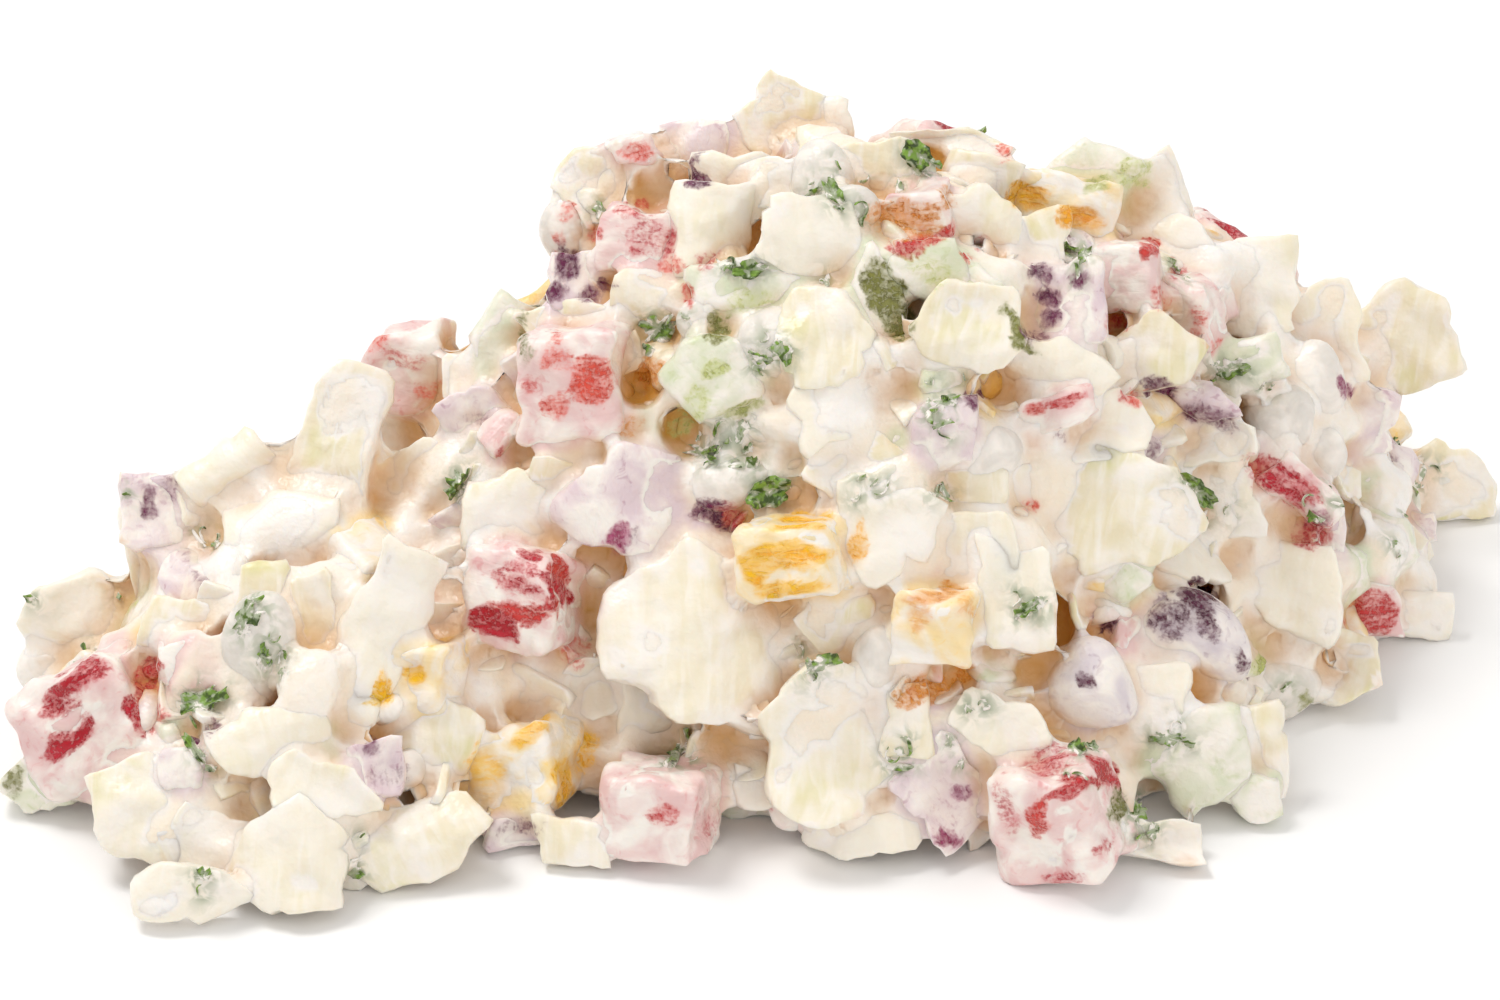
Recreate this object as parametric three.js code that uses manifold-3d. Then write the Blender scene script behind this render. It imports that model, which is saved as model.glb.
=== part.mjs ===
// A heap of Mexican salad: chopped cabbage, sweet pepper, red onion, cucumber, kidney beans and
// herbs held together by a creamy dressing, lying as one mass on a flat surface.
// Millimetres, +Z up, origin at the middle of the footprint on that surface.

import * as THREE from 'three';
import { mergeVertices } from 'three/addons/utils/BufferGeometryUtils.js';
import Module from 'manifold-3d';

const wasm = await Module();
wasm.setup();

// Mounds that make up the heap: x, y, height, half length, half width, turn in degrees
const MOUNDS = [
  [12, 23, 57, 52, 42, 0],
  [-49, -7, 24, 27, 30, 25],
  [51, 30, 39, 26, 34, -30],
  [18, 2, 34, 41, 30.5, 0],
  [-20, 12, 38, 28, 32, 0],
];
const MOUND_BLEND = 3;
const FOOTPRINT_MIDDLE = [2.46, 12.87];
const CORE_INSET = 0.5;
const CORE_LEAST_HEIGHT = 0.5;
const CORE_SPOKES = 30;
const CORE_RINGS = 7;
const CORE_AXIS = [2, 14];
const WIDEST_REACH = 110;
const REACH_STEP = 0.25;
const FLOOR_WIDTH = 300;
const FLOOR_DEPTH = 60;

// The pieces in front are laid out as seen by an eye that looks down at the heap
const EYE_RISE = THREE.MathUtils.degToRad(32);
const EYE_DISTANCE = 700;
const AIM = new THREE.Vector3(0, 0, 27);
const TO_EYE = new THREE.Vector3(0, -Math.cos(EYE_RISE), Math.sin(EYE_RISE));
const VIEW_UP = new THREE.Vector3(0, Math.sin(EYE_RISE), Math.cos(EYE_RISE));
const VIEW_RIGHT = new THREE.Vector3(1, 0, 0);
const SIGHT_REACH = 100;
const SIGHT_STEP = 0.5;

// Each kind of piece: least thickness, thickness over width, range of width of the scattered
// ones, height over width, how far its facing may sway in degrees, and its share of the scatter
const KINDS = {
  cabbage: { thick: 3.4, depth: 0.26, width: [10, 15], aspect: 0.75, sway: 14, share: 0.56 },
  lump: { thick: 4.5, depth: 0.7, width: [9.2, 11], aspect: 0.8, sway: 20, share: 0.04 },
  red_pepper: { thick: 6, depth: 0.8, width: [9.2, 13], aspect: 0.9, sway: 6, share: 0.1 },
  yellow_pepper: { thick: 6, depth: 0.8, width: [9.2, 12], aspect: 0.9, sway: 6, share: 0.06 },
  red_onion: { thick: 3, depth: 0.25, width: [9.2, 12], aspect: 0.8, sway: 14, share: 0.09 },
  cucumber: { thick: 4, depth: 0.42, width: [9.2, 13], aspect: 0.8, sway: 12, share: 0.1 },
  kidney_bean: { thick: 7, depth: 0.5, width: [15, 17], aspect: 0.6, sway: 10, share: 0.05 },
};
const SMALLEST_FUSED = 8.9;

// Pieces that show from the front: across and up from the aim, wide, tall, turn in degrees, and
// how far out towards the eye. Peppers add the yaw and pitch that show their sides.
const SEEN = {
  cabbage: [
    [-71, -13, 17, 12, -8, 0], [-62, -5, 12, 12, 10, 0], [-56.5, 3.5, 11, 6, 35, 0],
    [-57, 0, 11, 8, 0, 0], [-50, -4, 14, 10, 8, 2], [-44.5, 5.5, 9, 20, -20, 1],
    [-61, -13.5, 10, 6, -10, 0], [-52.5, -10, 6, 7, 0, 1], [-47, -12, 5, 9, 10, 0],
    [-52, -26, 14, 8, 5, 1], [-66, -34, 12, 14, 0, 2], [-59, -37, 12, 9, 0, 1],
    [-60, -42, 14, 7, 0, 0], [-50, -38, 14, 13, 0, 2], [-46, -31, 14, 7, -12, 2],
    [-36, -37, 16, 9, 25, 0], [-40, -14, 9, 20, -25, 3], [-46, -10, 9, 6, 0, 0],
    [-34, -25, 12, 10, 0, 0], [-29, 13, 9, 6, 0, 0], [-35, 1, 12, 12, 0, 0],
    [-25.5, -2, 13, 11, 0, 2], [-21, 1, 6, 8, -15, 1], [-33, -9, 9, 8, 20, 0],
    [-31, -15, 10, 8, 0, 1], [-19, -36.5, 9, 6, 0, 0], [-17, -20, 10, 7, 0, 0],
    [-20, 19, 12, 6, 0, 0], [-5, -15, 22, 22, 0, 4], [-10, -22, 9, 7, 0, 1],
    [-16, 34, 11, 11, -12, 0], [-13, 33, 12, 9, 0, 1], [-11, 22, 9, 6, 0, 0],
    [-2, 34, 9, 8, 0, 1], [3.5, 41, 11, 11, 0, 0], [9.5, 40, 4, 8, 0, 0],
    [4, 34, 9, 7, 0, 1], [6, 28.5, 12, 10, 8, 3], [-4, 29, 9, 11, 0, 1],
    [15, 36, 11, 7, -8, 1], [22, 37, 14, 7, 0, 0], [25, 35, 9, 6, -10, 1],
    [24, 31, 11, 7, -10, 1], [23, 18.5, 13, 10, -12, 4], [8, 17, 12, 12, 0, 2],
    [43, 33, 9, 9, 20, 0], [30, 27.5, 10, 7, 12, 1], [54, 23, 11, 12, 0, 0],
    [46, 28, 11, 6, -15, 0], [44, 16, 11, 9, 0, 2], [33, 14, 14, 8, -15, 1],
    [61.5, 18, 9, 13, 10, 1], [70.5, 17, 15, 15, -10, 0], [74.5, 2.5, 13, 10, 0, 0],
    [49, 6.5, 12, 6, 0, 1], [37, 7.5, 14, 9, 0, 2], [40, -2, 20, 14, -8, 3],
    [52, 0, 6, 9, 15, 1], [57, -9.5, 15, 11, -12, 3], [70.5, -12, 11, 6, -10, 0],
    [61, -18, 14, 10, -15, 1], [43, -21, 9, 7, 0, 1], [54.5, -27, 6, 12, 0, 1],
    [43, -36.5, 11, 5, -8, 0], [27, -24.5, 13, 7, -15, 3], [8.5, -26, 16, 18, -6, 3],
    [11.5, -35.5, 15.5, 6, 0, 0], [17, -24, 6, 8, 0, 1], [28.5, -10, 9, 13, 0, 3],
    [24, -5, 10, 8, 0, 1], [14, -3, 13, 13, -30, 2], [11, 4, 13, 8, 10, 1],
    [9, 11, 12, 10, 25, 1], [23, 1.5, 10, 5, 0, 0], [-3, -28, 10, 6, 0, 1],
    [1, -31, 6, 5, 0, 0], [-40, 3, 10, 14, -20, -1],
  ],
  red_pepper: [
    [-70.5, -24, 18, 17, 32, 2, 18, -10], [-60, -18, 9, 7, 0, 0, -10, 0],
    [-37, 14.5, 11, 12, -10, 0, 15, -12], [-24.5, -10, 14, 13, -12, 3, 25, -8],
    [-10, -33, 14, 12, 0, 1, 15, -15], [-19, 12.5, 13, 15, 0, 2, 15, -10],
    [-12.5, 38, 5, 3, 15, 0, 0, 0], [-12, 27.5, 10, 9, -10, 1, 15, 0],
    [18, 31, 9, 8, 0, 0, 15, -15], [41, 24, 9, 9, 0, 1, 20, -12],
    [47, 20.5, 9, 10, 0, 0, 20, -10], [33, 9.5, 9, 4, 12, 1, 0, 0],
    [67, -12, 8, 7, 0, 0, -15, 0], [33, -33.5, 15, 15.5, 4, 3, 30, -24],
    [59, 1.5, 10, 5, -35, 2, 0, 0],
  ],
  yellow_pepper: [
    [-35, -19, 10, 9, 0, 1, 20, -10], [-25, -29, 15, 13, 4, 3, 25, -12],
    [20, -13.5, 11, 10, -8, 2, 15, -12], [5, -6, 14, 10, 4, 4, 22, -6],
    [33.5, 31.5, 12, 7, -10, 0, 0, 0],
  ],
  red_onion: [
    [-64, -1, 8, 9, 0, 1], [-41, -29, 7, 7, 0, 1], [-29.5, 9.5, 10, 7, 0, 1],
    [-25, -35.5, 8, 4, 0, 0], [-14, 0, 17, 13, 0, 2], [-6, 37, 9, 8, 0, 0],
    [-18.5, 23.5, 8, 7, 0, 1], [34, 21, 9, 10, 5, 3], [61, -3.5, 7, 6, 0, 1],
    [48, 11, 12, 5, -25, 2], [21, -31.5, 9, 11, 40, 1], [-4, -1.5, 7, 4, 0, 0],
    [21, 7, 8, 9, 0, 2], [66, 8.5, 8, 9, 0, 1], [-61, -29, 5, 5, 0, 2], [72, -3, 5, 4, 0, 0],
  ],
  kidney_bean: [[46.5, -14, 16, 10, -10, 2], [36.5, -19.5, 10, 10, 0, 2]],
  cucumber: [
    [-76, -30.5, 9.5, 7, 0, 0], [-26, 17, 9, 12, 0, 0], [-4, 13, 12, 10, 0, 2],
    [0, 23, 14, 7, 0, 1], [14, 22.5, 6, 12, 15, 0], [19.5, 24.5, 10, 8, -10, 1],
    [26, 22, 11, 4, -50, 2], [37, 35, 12, 9, 0, 0], [53, 14.5, 10, 7, 20, 1],
    [68, -5, 9, 10, 0, 1], [40, -8, 7, 7, 0, 2], [48, -28, 13, 14, -10, 3],
    [54, -32, 6, 6, 0, 0], [21, 12.5, 6, 4, 0, 1],
  ],
  lump: [
    [-74.5, -18.5, 9.5, 8, 0, 0], [-53, -16, 8, 13, 0, 0.5], [-20, 29, 6, 8, 0, 1],
    [-5, 19, 6, 6, 0, 1], [8, 35, 7, 8, 0, 2], [11, 31, 6, 6, 0, 2], [2.5, 17, 8, 8, 0, 2],
    [60, 13, 9, 9, 0, 1], [61, 5, 7, 7, 0, 1], [57, 9, 8, 8, 0, 1], [57, -20.5, 9, 7, 0, 2],
    [26, 5, 7, 7, 0, 1], [13.5, -17, 5, 7, 0, 2], [-2, 2, 10, 6, 0, 1],
  ],
};

// The scattered pieces fill the sides, the back and the gaps. Half are tried all over the
// footprint and half on the flanks, evenly up their height.
const SCATTER_TRIALS = 5000;
const SCATTER_FIELD = { x: [-82, 84], y: [-46, 72] };
const FLANK_HEIGHTS = [3, 40];
const SCATTER_CROWDING = 0.78;
const SCATTER_LEAST_HEIGHT = 3;
const SCATTER_SINK = 0.2;
const SCATTER_SWAY = 2;
const SCATTER_SEED = 1000;

// Scattered pieces that the eye sees edge-on lie deeper, so that they stay behind the heap's rim
const RIM_SINK = 4;
const RIM_WIDTH = 0.5;

const PEPPER_VIEW_SHARE = 0.84;
const CHIP_SIDE = 2.6;
const CHIP_SIDES = [4, 7];
const SLICE_SIDES = 5;
const PLATE_RAGGED = 0.36;
const PLATE_CURL = 0.22;
const PLATE_CURL_LEVEL = 0.4;
const CUBE_BEVEL = 0.08;
const CUBE_SKEW = 0.2;
const CUBE_TAPER = 0.18;
const BEAN_FACETS = [8, 5];
const BEAN_BEND = 0.9;
const BLOB_FACETS = [6, 4];
const BLOB_RAGGED = 0.25;
const DRESSING_COLOUR = '#efe6d4';

// A repeatable draw from 0 to 1, for a piece's seed and the draw's own number
function chance(seed, draw) {
  const wave = Math.sin(seed * 12.9898 + draw * 78.233) * 43758.5453;
  return wave - Math.floor(wave);
}

function between(range, share) {
  return range[0] + (range[1] - range[0]) * share;
}

// Height of the heap over a point, negative outside it; the mounds may be drawn in by an inset
function heapHeight(x, y, inset = 0) {
  let lift = 0;
  let nearest = -Infinity;
  for (const [middleX, middleY, high, long, wide, turn] of MOUNDS) {
    const angle = THREE.MathUtils.degToRad(turn);
    const along = (x - middleX) * Math.cos(angle) + (y - middleY) * Math.sin(angle);
    const aside = (y - middleY) * Math.cos(angle) - (x - middleX) * Math.sin(angle);
    const outward = (along / (long - inset)) ** 2 + (aside / (wide - inset)) ** 2;
    const rise = (high - inset) * (1 - outward);
    lift += Math.max(0, rise) ** MOUND_BLEND;
    nearest = Math.max(nearest, rise);
  }
  return lift > 0 ? lift ** (1 / MOUND_BLEND) : nearest;
}

function heapNormal(x, y) {
  const step = 1;
  const slopeX = (heapHeight(x + step, y) - heapHeight(x - step, y)) / (2 * step);
  const slopeY = (heapHeight(x, y + step) - heapHeight(x, y - step)) / (2 * step);
  return new THREE.Vector3(-slopeX, -slopeY, 1).normalize();
}

// Where the sight line through a view point meets the heap, or passes closest over it
function seenSpot(across, up) {
  const eye = AIM.clone().addScaledVector(TO_EYE, EYE_DISTANCE);
  const target = AIM.clone().addScaledVector(VIEW_RIGHT, across).addScaledVector(VIEW_UP, up);
  const sight = target.sub(eye).normalize();
  let closest = null;
  let smallestGap = Infinity;
  for (let far = EYE_DISTANCE - SIGHT_REACH; far < EYE_DISTANCE + SIGHT_REACH; far += SIGHT_STEP) {
    const point = eye.clone().addScaledVector(sight, far);
    const gap = point.z - heapHeight(point.x, point.y);
    if (point.z < 0) {
      break;
    }
    if (gap < smallestGap) {
      smallestGap = gap;
      closest = point;
    }
    if (gap <= 0) {
      break;
    }
  }
  return closest;
}

// The piece's own axes: it faces along its normal, with its tall side near the given upright
function stance(facing, upright, turn, yaw, pitch) {
  const side = new THREE.Vector3().crossVectors(upright, facing).normalize();
  const tall = new THREE.Vector3().crossVectors(facing, side);
  const axes = new THREE.Matrix4().makeBasis(side, tall, facing);
  const spin = new THREE.Euler(
    THREE.MathUtils.degToRad(-pitch),
    THREE.MathUtils.degToRad(-yaw),
    THREE.MathUtils.degToRad(turn),
    'YXZ',
  );
  return axes.multiply(new THREE.Matrix4().makeRotationFromEuler(spin));
}

function pieceSize(kind, wide, tall) {
  const { thick, depth } = KINDS[kind];
  return [wide, tall, Math.max(thick, depth * wide)];
}

function seenPieces() {
  const pieces = [];
  for (const [kind, rows] of Object.entries(SEEN)) {
    for (const [across, up, wide, tall, turn, out, yaw, pitch] of rows) {
      const seed = pieces.length + 1;
      const sway = KINDS[kind].sway;
      const spot = seenSpot(across, up);
      const standing = Math.max(0, tall / 2 * VIEW_UP.z - spot.z) / TO_EYE.z;
      spot.addScaledVector(TO_EYE, Math.max(out, standing));
      const ownYaw = yaw ?? sway * (2 * chance(seed, 1) - 1);
      const ownPitch = pitch ?? sway * (2 * chance(seed, 2) - 1);
      const share = yaw ? PEPPER_VIEW_SHARE : 1;
      pieces.push({
        kind,
        seed,
        spot,
        size: pieceSize(kind, wide * share, tall * share),
        axes: stance(TO_EYE, VIEW_UP, turn, ownYaw, ownPitch),
      });
    }
  }
  return pieces;
}

function drawnKind(share) {
  let left = share;
  for (const [kind, { share: part }] of Object.entries(KINDS)) {
    left -= part;
    if (left < 0) {
      return kind;
    }
  }
  return 'cabbage';
}

function radius(piece) {
  return (piece.size[0] + piece.size[1]) / 4;
}

// The point at a height on the heap's flank, in the direction of an angle seen from above
function flankPoint(angle, high, inset) {
  const point = { x: 0, y: 0 };
  let far = WIDEST_REACH;
  do {
    point.x = CORE_AXIS[0] + far * Math.cos(angle);
    point.y = CORE_AXIS[1] + far * Math.sin(angle);
    far -= REACH_STEP;
  } while (far > 0 && heapHeight(point.x, point.y, inset) < high);
  return point;
}

function scatterPoint(seed) {
  const [first, second] = [chance(seed, 1), chance(seed, 2)];
  if (seed % 2) {
    return flankPoint(2 * Math.PI * first, between(FLANK_HEIGHTS, second), 0);
  }
  return { x: between(SCATTER_FIELD.x, first), y: between(SCATTER_FIELD.y, second) };
}

// Pieces spread over the whole heap by a seeded rule, left out where one already lies
function scatteredPieces(placed) {
  const pieces = [...placed];
  for (let trial = 0; trial < SCATTER_TRIALS; trial++) {
    const seed = SCATTER_SEED + trial;
    const { x, y } = scatterPoint(seed);
    const high = heapHeight(x, y);
    if (high < SCATTER_LEAST_HEIGHT) {
      continue;
    }
    const kind = drawnKind(chance(seed, 3));
    const { width, aspect, sway } = KINDS[kind];
    const wide = between(width, chance(seed, 4));
    const facing = heapNormal(x, y);
    const edgeOn = Math.max(0, 1 - Math.abs(facing.dot(TO_EYE)) / RIM_WIDTH);
    const sink = SCATTER_SINK + RIM_SINK * edgeOn;
    const spot = new THREE.Vector3(x, y, high).addScaledVector(facing, -sink);
    const piece = { kind, seed, spot, size: pieceSize(kind, wide, wide * aspect) };
    const crowded = (other) => (
      spot.distanceTo(other.spot) < SCATTER_CROWDING * (radius(other) + radius(piece))
    );
    if (pieces.some(crowded)) {
      continue;
    }
    const turn = 360 * chance(seed, 5);
    const yaw = SCATTER_SWAY * sway * (2 * chance(seed, 6) - 1);
    const pitch = SCATTER_SWAY * sway * (2 * chance(seed, 7) - 1);
    piece.axes = stance(facing, VIEW_UP, turn, yaw, pitch);
    pieces.push(piece);
  }
  return pieces;
}

// The shape moved to its middle and scaled to fill a box of the given size
function fitted(geometry, size) {
  geometry.computeBoundingBox();
  const box = geometry.boundingBox;
  const extent = box.getSize(new THREE.Vector3());
  const middle = box.getCenter(new THREE.Vector3());
  geometry.translate(-middle.x, -middle.y, -middle.z);
  geometry.scale(size[0] / extent.x, size[1] / extent.y, size[2] / extent.z);
  return geometry;
}

// The shape with its shared corners merged, which closes it
function merged(geometry) {
  geometry.deleteAttribute('normal');
  geometry.deleteAttribute('uv');
  return mergeVertices(geometry);
}

function moved(geometry, move) {
  const place = geometry.attributes.position;
  const point = new THREE.Vector3();
  for (let corner = 0; corner < place.count; corner++) {
    point.fromBufferAttribute(place, corner);
    move(point, corner);
    place.setXYZ(corner, point.x, point.y, point.z);
  }
  return geometry;
}

// A many-sided plate with an uneven rim and both faces split into triangles alike
function plate(seed, size, sides) {
  const blank = merged(new THREE.CylinderGeometry(0.5, 0.5, 1, sides, 1).rotateX(Math.PI / 2));
  const phase = sides === 4 ? Math.PI / 4 : 2 * Math.PI * chance(seed, 8);
  const uneven = moved(blank, (point) => {
    const around = Math.atan2(point.y, point.x) + Math.PI / 2;
    const side = Math.round(around / (2 * Math.PI) * sides + sides) % sides;
    const reach = Math.hypot(point.x, point.y) * (1 - PLATE_RAGGED * chance(seed, 10 + side));
    point.x = reach * Math.cos(around + phase);
    point.y = reach * Math.sin(around + phase);
  });
  return fitted(uneven, size);
}

// Bends a plate across a drawn direction, as a leaf is
function curled(geometry, seed, size, amount) {
  const direction = Math.PI * chance(seed, 9);
  const curl = amount * size[0] * (2 * chance(seed, 20) - 1);
  return moved(geometry, (point) => {
    const along = point.x / size[0] * Math.cos(direction) + point.y / size[1] * Math.sin(direction);
    point.z += curl * ((2 * along) ** 2 - PLATE_CURL_LEVEL);
  });
}

function chip(seed, size) {
  const sides = Math.round(size[0] / CHIP_SIDE + chance(seed, 21));
  const blank = plate(seed, size, THREE.MathUtils.clamp(sides, ...CHIP_SIDES));
  return curled(blank, seed, size, PLATE_CURL);
}

function slice(seed, size) {
  return plate(seed, size, SLICE_SIDES);
}

// A diced cube with its front and back edges cut back and its corners a little out of true
function cube(seed, size) {
  const half = 0.5 - CUBE_BEVEL;
  const square = new THREE.Shape([
    new THREE.Vector2(-half, -half),
    new THREE.Vector2(half, -half),
    new THREE.Vector2(half, half),
    new THREE.Vector2(-half, half),
  ]);
  const block = new THREE.ExtrudeGeometry(square, {
    depth: 2 * half,
    bevelThickness: CUBE_BEVEL,
    bevelSize: CUBE_BEVEL,
    bevelSegments: 1,
  });
  const skewX = CUBE_SKEW * (2 * chance(seed, 23) - 1);
  const skewY = CUBE_SKEW * (2 * chance(seed, 24) - 1);
  const taper = CUBE_TAPER * chance(seed, 25);
  const uneven = moved(merged(block), (point) => {
    point.x += skewX * point.y;
    point.y += skewY * point.x;
    point.x *= 1 - taper * (point.y + 0.5);
  });
  return fitted(uneven, size);
}

// A rounded bean, bent round the hollow in its upper side
function bean(seed, size) {
  const blank = merged(new THREE.SphereGeometry(0.5, ...BEAN_FACETS).rotateZ(Math.PI / 2));
  const bent = moved(blank, (point) => {
    point.y -= BEAN_BEND * point.x * point.x;
  });
  return fitted(bent, size);
}

function blob(seed, size) {
  const blank = merged(new THREE.SphereGeometry(0.5, ...BLOB_FACETS));
  const uneven = moved(blank, (point, corner) => {
    point.multiplyScalar(1 - BLOB_RAGGED * chance(seed, 30 + corner));
  });
  return fitted(uneven, size);
}

const SHAPES = {
  cabbage: chip,
  lump: blob,
  red_pepper: cube,
  yellow_pepper: cube,
  red_onion: chip,
  cucumber: slice,
  kidney_bean: bean,
};

// The mass under the pieces: a cone's rings spread over the heap and raised to its height
function core() {
  const blank = merged(new THREE.ConeGeometry(1, 1, CORE_SPOKES, CORE_RINGS));
  return moved(blank, (point) => {
    const share = Math.hypot(point.x, point.z);
    const onBase = point.y + 0.5 < 0.5 / CORE_RINGS;
    const rim = flankPoint(Math.atan2(-point.z, point.x), 0, CORE_INSET);
    point.x = CORE_AXIS[0] + share * (rim.x - CORE_AXIS[0]);
    point.y = CORE_AXIS[1] + share * (rim.y - CORE_AXIS[1]);
    point.z = onBase ? 0 : Math.max(CORE_LEAST_HEIGHT, heapHeight(point.x, point.y, CORE_INSET));
  });
}

function toSolid(geometry) {
  return new wasm.Manifold(new wasm.Mesh({
    numProp: 3,
    vertProperties: new Float32Array(geometry.attributes.position.array),
    triVerts: new Uint32Array(geometry.index.array),
  }));
}

function pieceSolid(piece) {
  const geometry = SHAPES[piece.kind](piece.seed, piece.size);
  geometry.applyMatrix4(piece.axes);
  geometry.translate(piece.spot.x, piece.spot.y, piece.spot.z);
  return toSolid(geometry);
}

// The pieces that are large enough to shape the heap
function isFused(piece) {
  return Math.max(piece.size[0], piece.size[1]) > SMALLEST_FUSED;
}

// Joins everything, cuts it level with the surface below and keeps the one connected body
function heapSolid() {
  const pieces = scatteredPieces(seenPieces()).filter(isFused);
  const joined = wasm.Manifold.union([toSolid(core()), ...pieces.map(pieceSolid)]);
  const floor = new THREE.BoxGeometry(FLOOR_WIDTH, FLOOR_WIDTH, FLOOR_DEPTH);
  const below = merged(floor.translate(0, 0, -FLOOR_DEPTH / 2));
  const level = joined.subtract(toSolid(below));
  const bodies = level.decompose();
  return bodies.reduce((best, body) => (body.volume() > best.volume() ? body : best));
}

function toGeometry(solid) {
  const mesh = solid.getMesh();
  const geometry = new THREE.BufferGeometry();
  geometry.setAttribute('position', new THREE.BufferAttribute(mesh.vertProperties, 3));
  geometry.setIndex(new THREE.BufferAttribute(mesh.triVerts, 1));
  geometry.translate(-FOOTPRINT_MIDDLE[0], -FOOTPRINT_MIDDLE[1], 0);
  geometry.computeVertexNormals();
  return geometry;
}

const dressing = new THREE.MeshStandardMaterial({
  color: DRESSING_COLOUR,
  roughness: 0.4,
  metalness: 0,
});

const heap = new THREE.Mesh(toGeometry(heapSolid()), dressing);
heap.name = 'salad_heap';

const salad = new THREE.Group();
salad.add(heap);

export default salad;
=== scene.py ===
"""A heap of Mexican salad: chopped vegetables, kidney beans and herbs in a creamy dressing.

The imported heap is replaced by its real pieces, laid out by the same rule, over a core of dressing.
Lengths are millimetres up to the point where a mesh is made, and metres from there on.
"""

import math

import bpy
import numpy as np
from mathutils import Matrix, Vector
from mathutils.bvhtree import BVHTree


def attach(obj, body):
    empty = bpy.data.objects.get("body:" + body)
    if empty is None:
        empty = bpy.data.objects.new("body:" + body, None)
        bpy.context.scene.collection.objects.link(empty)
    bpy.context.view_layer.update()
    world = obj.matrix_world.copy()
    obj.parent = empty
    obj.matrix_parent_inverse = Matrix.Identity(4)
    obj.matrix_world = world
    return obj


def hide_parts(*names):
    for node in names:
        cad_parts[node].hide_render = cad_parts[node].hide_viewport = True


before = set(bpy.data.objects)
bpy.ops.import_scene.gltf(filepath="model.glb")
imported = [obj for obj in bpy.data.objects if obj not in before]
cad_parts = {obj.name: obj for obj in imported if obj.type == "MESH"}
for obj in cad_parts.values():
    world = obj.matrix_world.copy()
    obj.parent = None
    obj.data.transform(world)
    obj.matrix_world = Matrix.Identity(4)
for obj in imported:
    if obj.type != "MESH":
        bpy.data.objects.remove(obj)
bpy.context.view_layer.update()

BODY = "root"
NODE = "salad_heap"
METRE = 0.001

# Mounds that make up the heap: x, y, height, half length, half width, turn in degrees
MOUNDS = [
    [12, 23, 57, 52, 42, 0],
    [-49, -7, 24, 27, 30, 25],
    [51, 30, 39, 26, 34, -30],
    [18, 2, 34, 41, 30.5, 0],
    [-20, 12, 38, 28, 32, 0],
]
FOOTPRINT_MIDDLE = np.array([2.46, 12.87, 0])
CORE_AXIS = [2, 14]
CORE_INSET = 3.6
CORE_SPOKES = 120
CORE_RINGS = 36
CORE_LEAST_HEIGHT = 0.5
WIDEST_REACH = 110
REACH_STEP = 0.25

# The pieces in front are laid out as seen by an eye that looks down at the heap
EYE_RISE = math.radians(32)
EYE_DISTANCE = 700
VIEW_WIDTH = 162
AIM = np.array([0, 0, 27.0])
TO_EYE = np.array([0, -math.cos(EYE_RISE), math.sin(EYE_RISE)])
VIEW_UP = np.array([0, math.sin(EYE_RISE), math.cos(EYE_RISE)])
VIEW_RIGHT = np.array([1.0, 0, 0])
SIGHT_REACH = 100
SIGHT_STEP = 0.5

# Each kind of piece: least thickness, thickness over width, range of width of the scattered
# ones, height over width, how far its facing may sway in degrees, and its share of the scatter
KINDS = {
    "cabbage": dict(thick=3.4, depth=0.26, width=[10, 15], aspect=0.75, sway=14, share=0.56),
    "lump": dict(thick=4.5, depth=0.7, width=[9.2, 11], aspect=0.8, sway=20, share=0.04),
    "red_pepper": dict(thick=6, depth=0.8, width=[9.2, 13], aspect=0.9, sway=6, share=0.1),
    "yellow_pepper": dict(thick=6, depth=0.8, width=[9.2, 12], aspect=0.9, sway=6, share=0.06),
    "red_onion": dict(thick=3, depth=0.25, width=[9.2, 12], aspect=0.8, sway=14, share=0.09),
    "cucumber": dict(thick=4, depth=0.42, width=[9.2, 13], aspect=0.8, sway=12, share=0.1),
    "kidney_bean": dict(thick=7, depth=0.5, width=[15, 17], aspect=0.6, sway=10, share=0.05),
}

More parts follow.
